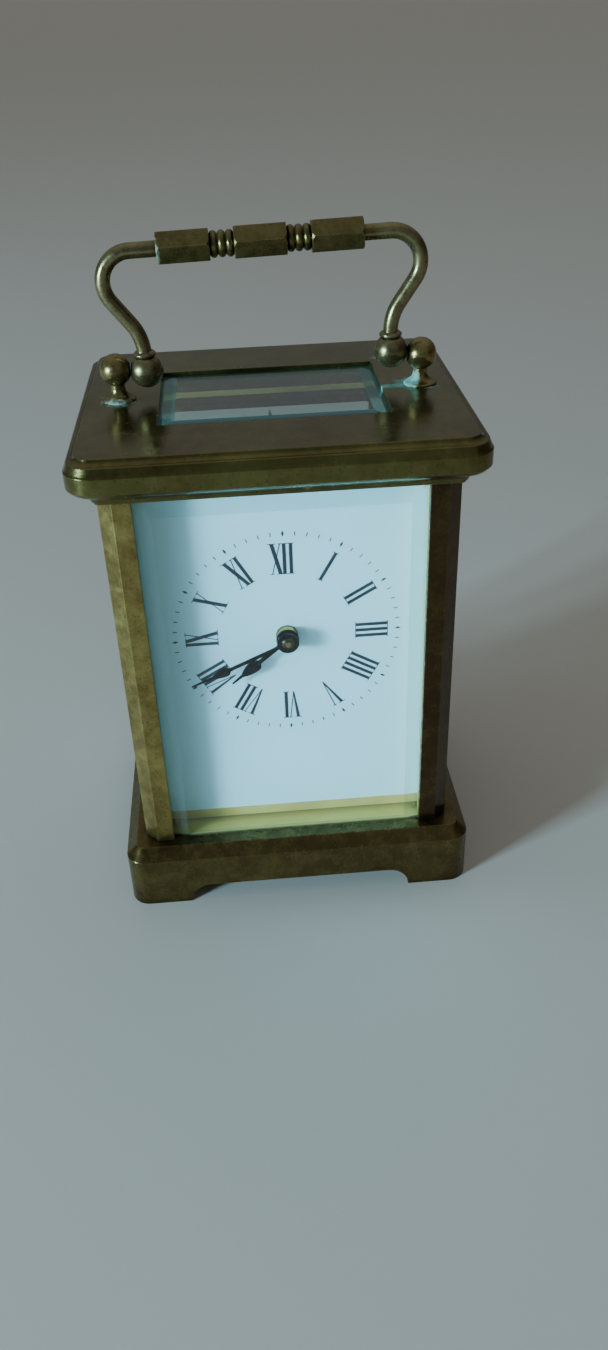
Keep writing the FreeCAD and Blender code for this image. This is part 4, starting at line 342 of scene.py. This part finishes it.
# a cool milky white with a wet gloss and the faintest waves of the fired surface
enamel, tree, shader, place = finish("vitreous enamel, fired white")
waves = add(tree, "ShaderNodeTexNoise", {"Vector": place, "Scale": 60.0, "Detail": 3.0})
cream = add(tree, "ShaderNodeMix", {0: waves.outputs[0], 6: linear("#b8e0ea"),
                                    7: linear("#c4e8f0")}, data_type="RGBA")
ripple = add(tree, "ShaderNodeBump", {"Strength": 0.05, "Distance": 0.0003,
                                      "Height": waves.outputs[0]})
shader.inputs["IOR"].default_value = 1.5
shader.inputs["Roughness"].default_value = 0.16
shader.inputs["Coat Weight"].default_value = 0.5
shader.inputs["Coat Roughness"].default_value = 0.05
tree.links.new(cream.outputs[2], shader.inputs["Base Color"])
tree.links.new(ripple.outputs[0], shader.inputs["Normal"])
dress(enamel, "dial_plate")

# blue-black and a little thin, so that it isn't quite even
fired_black, tree, shader, place = finish("vitreous enamel, fired black")
wear = add(tree, "ShaderNodeTexNoise", {"Vector": place, "Scale": 1500.0, "Detail": 3.0})
ink = add(tree, "ShaderNodeMix", {0: wear.outputs[0], 6: linear("#10161f"),
                                  7: linear("#27323f")}, data_type="RGBA")
shader.inputs["Roughness"].default_value = 0.3
tree.links.new(ink.outputs[2], shader.inputs["Base Color"])

DIAL_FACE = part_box("dial_plate")[0].y
DIAL_MIDDLE = (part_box("centre_wheel")[0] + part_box("centre_wheel")[1]) / 2
PAINT = 0.00003  # thickness of the fired strokes


def stroke(mesh, turn, low, high, wide_low, wide_high=None):
    """One fired stroke, from a low to a high point given as (across, out) in millimetres."""
    across = Vector((math.cos(turn), 0, -math.sin(turn)))
    out = Vector((math.sin(turn), 0, math.cos(turn)))
    middle = Vector((0, DIAL_FACE, DIAL_MIDDLE.z))
    start = middle + (across * low[0] + out * low[1]) / 1000
    stop = middle + (across * high[0] + out * high[1]) / 1000
    made = bmesh.ops.create_cube(mesh, size=1.0)["verts"]
    for vert in made:
        wide = wide_low if vert.co.z < 0 else (wide_high or wide_low)
        foot = start if vert.co.z < 0 else stop
        side = 1 if vert.co.x > 0 else -1
        lift = PAINT if vert.co.y > 0 else -PAINT
        vert.co = foot + across * side * wide / 2000 + Vector((0, lift, 0))


def numeral(mesh, turn, letters):
    """Roman numeral with hairline serifs, its feet towards the centre."""
    low, high, thick, thin = 15.0, 22.2, 0.76, 0.22
    spread, pitch, wide_pitch = 0.9, 1.39, 1.74
    long_serif, short_serif, half_serif = 1.7, 1.0, 0.08
    steps = [pitch if pair == "II" else wide_pitch
             for pair in (letters[at:at + 2] for at in range(len(letters) - 1))]
    middle = -sum(steps) / 2
    for letter, step in zip(letters, steps + [0]):
        if letter == "I":
            stroke(mesh, turn, (middle, low), (middle, high), thick)
            serifs = [(middle, low, pitch), (middle, high, pitch)]
        elif letter == "V":
            stroke(mesh, turn, (middle, low), (middle - spread, high), 0.3, thick)
            stroke(mesh, turn, (middle, low), (middle + spread, high), thin)
            serifs = [(middle - spread, high, long_serif), (middle + spread, high, short_serif)]
        else:
            stroke(mesh, turn, (middle + spread, low), (middle - spread, high), thick + 0.1)
            stroke(mesh, turn, (middle - spread, low), (middle + spread, high), thin)
            serifs = [(middle - spread, low, short_serif), (middle + spread, low, long_serif),
                      (middle - spread, high, long_serif), (middle + spread, high, short_serif)]
        for across, level, length in serifs:
            bar = level + half_serif if level == low else level - half_serif
            stroke(mesh, turn, (across, bar - half_serif), (across, bar + half_serif), length)
        middle += step


def piece(name, mesh, material, body, slot):
    """Finish a modelled piece: mesh, material and body; slot is not used."""
    bmesh.ops.recalc_face_normals(mesh, faces=mesh.faces[:])
    data = bpy.data.meshes.new(name)
    mesh.to_mesh(data)
    mesh.free()
    data.materials.append(material)
    made = bpy.data.objects.new(name, data)
    bpy.context.scene.collection.objects.link(made)
    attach(made, body)
    return made


hours = bmesh.new()
for hour, letters in enumerate(("XII", "I", "II", "III", "IIII", "V", "VI", "VII", "VIII", "IX",
                                "X", "XI")):
    numeral(hours, math.radians(30 * hour), letters)
piece("dial_hours", hours, fired_black, "case", "enamel")

track = bmesh.new()
minute_low, minute_high, minute_wide = 23.95, 24.85, 0.21
five_low, five_middle, five_high, five_wide, five_point = 23.75, 24.4, 25.05, 0.58, 0.08
for minute in range(60):
    turn = math.radians(6 * minute)
    if minute % 5:
        stroke(track, turn, (0, minute_low), (0, minute_high), minute_wide)
    else:
        stroke(track, turn, (0, five_low), (0, five_middle), five_point, five_wide)
        stroke(track, turn, (0, five_middle), (0, five_high), five_wide, five_point)
piece("dial_minutes", track, fired_black, "case", "enamel")


# Hands: spade hands of spring steel, filed up, polished and darkened blue-black. A domed brass
# collet pinned on the arbor holds them.

# nearly black, with a blue glint where it turns to the light
blued = bright_steel("blued spring steel", "#171b26", 0.25, 400.0)
dress(blued, "hour_hand", "minute_hand")
# a browned collet, polished only where the punch has touched it
dress(old_brass("turned brass, browned", "#8c8058", "#4c4630", "#33291a", 0.35, 0.2,
                shut_in=0.0), "hand_collet")


# Movement: plates, wheels and barrel of rolled brass, grained with emery, lightly gilt and still
# yellow behind the glass; arbors and winding work of steel.

def movement_brass(name, light, dark, across, rough=0.3, metal=1.0):
    """Brass grained by an abrasive; across holds how fine the grain is along each axis."""
    made, tree, shader, place = finish(name)
    run = add(tree, "ShaderNodeMapping", {"Vector": place, "Scale": across})
    grain = add(tree, "ShaderNodeTexNoise", {"Vector": run.outputs[0], "Scale": 60.0,
                                             "Detail": 6.0, "Roughness": 0.7})
    patches = add(tree, "ShaderNodeTexNoise", {"Vector": place, "Scale": 90.0, "Detail": 4.0})
    tint = add(tree, "ShaderNodeMapRange", {"Value": patches.outputs[0], 1: 0.35, 2: 0.7})
    colour = add(tree, "ShaderNodeMix", {0: tint.outputs[0], 6: linear(light),
                                         7: linear(dark)}, data_type="RGBA")
    gloss = add(tree, "ShaderNodeMapRange", {"Value": grain.outputs[0], 1: 0.3, 2: 0.7,
                                             3: rough - 0.06, 4: rough + 0.12})
    bump = add(tree, "ShaderNodeBump", {"Strength": 0.12, "Distance": 0.0001,
                                        "Height": grain.outputs[0]})
    shader.inputs["Metallic"].default_value = metal
    for socket, source in (("Base Color", colour.outputs[2]), ("Roughness", gloss.outputs[0]),
                           ("Normal", bump.outputs[0])):
        tree.links.new(source, shader.inputs[socket])
    return made


# clean yellow with the dull upright lines of emery
plate_brass = movement_brass("rolled brass, grained upright", "#c2a861", "#937a40", (14, 14, 1))
# a little brighter and smoother than the plates
wheel_brass = movement_brass("wheel brass, cut and polished", "#cdb368", "#9f8443", (5, 5, 5),
                             0.24)
dress(plate_brass, "front_plate", "back_plate")
# still bright yellow under the foot of the dial, where no hand can reach it
dress(movement_brass("rolled brass, matt and lacquered", "#e0cc78", "#c8b264", (1, 9, 9), 0.45,
                     0.35), "dial_back_plate")
dress(wheel_brass, "movement_pillars", "cannon_pinion", "minute_wheel", "hour_wheel",
      "centre_wheel", "barrel", "barrel_cover", "third_wheel", "contrate_wheel", "escape_potence",
      "escape_wheel", "balance_wheel")
dress(bright_steel("winding steel", "#9a9da2", 0.2), "barrel_arbor", "ratchet_wheel", "click",
      "click_spring", "pallet_lever", "balance_staff", "regulator")
dress(blued, "mainspring", "hairspring")


# Platform: gilt brass with a matt grain, carrying the lever escapement under the top glass, with
# ruby pallet stones.

# a pale, soft gold with no sharp reflections
dress(movement_brass("gilt brass, matt", "#a8915a", "#7d6a3f", (9, 1, 9), 0.4), "platform_plate",
      "escape_bridge", "balance_cock")
# deep pink with a hard gloss
ruby, tree, shader, place = finish("synthetic ruby, polished")
cloud = add(tree, "ShaderNodeTexNoise", {"Vector": place, "Scale": 700.0})
red = add(tree, "ShaderNodeMix", {0: cloud.outputs[0], 6: linear("#8c1029"),
                                  7: linear("#b51d3d")}, data_type="RGBA")
shader.inputs["Roughness"].default_value = 0.08
shader.inputs["IOR"].default_value = 1.77
tree.links.new(red.outputs[2], shader.inputs["Base Color"])
dress(ruby, "pallet_stones")


# Floor: a plain pale table, which isn't part of the clock.

TABLE_HALF = 40.0
table = bmesh.new()
bmesh.ops.create_grid(table, x_segments=1, y_segments=1, size=TABLE_HALF)
data = bpy.data.meshes.new("table")
table.to_mesh(data)
table.free()
pale, tree, shader, place = finish("pale table top")
shader.inputs["Base Color"].default_value = linear("#d3cbc0")
shader.inputs["Roughness"].default_value = 0.6
data.materials.append(pale)
floor = bpy.data.objects.new("table", data)
bpy.context.scene.collection.objects.link(floor)


# Light: a narrow, cool and rather low window to the left and in front, in a dim room that is
# lighter overhead and behind. It throws the left pillar's shade on the dial.

def lamp(name, place, aim, size, power, tone):
    """Soft rectangular lamp aimed at a point."""
    data = bpy.data.lights.new(name, "AREA")
    data.shape = "RECTANGLE"
    data.size, data.size_y = size
    data.energy = power
    data.color = linear(tone)[:3]
    made = bpy.data.objects.new(name, data)
    made.location = place
    made.rotation_euler = (Vector(aim) - Vector(place)).to_track_quat("-Z", "Y").to_euler()
    bpy.context.scene.collection.objects.link(made)


lamp("window", (-1.02, -0.63, 0.27), (0, 0, 0.065), (0.20, 0.22), 33, "#a6d4ec")
lamp("fill", (0.5, -1.1, 0.75), (0, 0, 0.06), (1.2, 0.9), 0.6, "#cfdde2")
room = bpy.data.worlds.new("room")
room.use_nodes = True
tree = room.node_tree
way = add(tree, "ShaderNodeVectorMath", {0: add(tree, "ShaderNodeTexCoord").outputs["Generated"],
                                         1: (0.0, 0.3, 0.8)}, operation="DOT_PRODUCT")
walls = add(tree, "ShaderNodeValToRGB", {0: way.outputs["Value"]},
            [(0.0, linear("#444442")), (0.35, linear("#5a5c5c")), (0.52, linear("#8c9090")),
             (0.8, linear("#b4bab9"))])
tree.links.new(walls.outputs[0], tree.nodes["Background"].inputs[0])
tree.nodes["Background"].inputs[1].default_value = 0.85
bpy.context.scene.world = room


# Camera: held above and in front of the clock, a little to its left.

view = bpy.data.cameras.new("camera")
view.sensor_fit = "AUTO"
view.sensor_width = 36.0
view.lens = 28.01
view.clip_start = 0.01
camera = bpy.data.objects.new("camera", view)
camera.location = (-0.00829, -0.22043, 0.18610)
camera.rotation_euler = Euler((math.radians(56.469), math.radians(1.7955),
                               math.radians(-4.5906)), "XYZ")
bpy.context.scene.collection.objects.link(camera)
bpy.context.scene.camera = camera
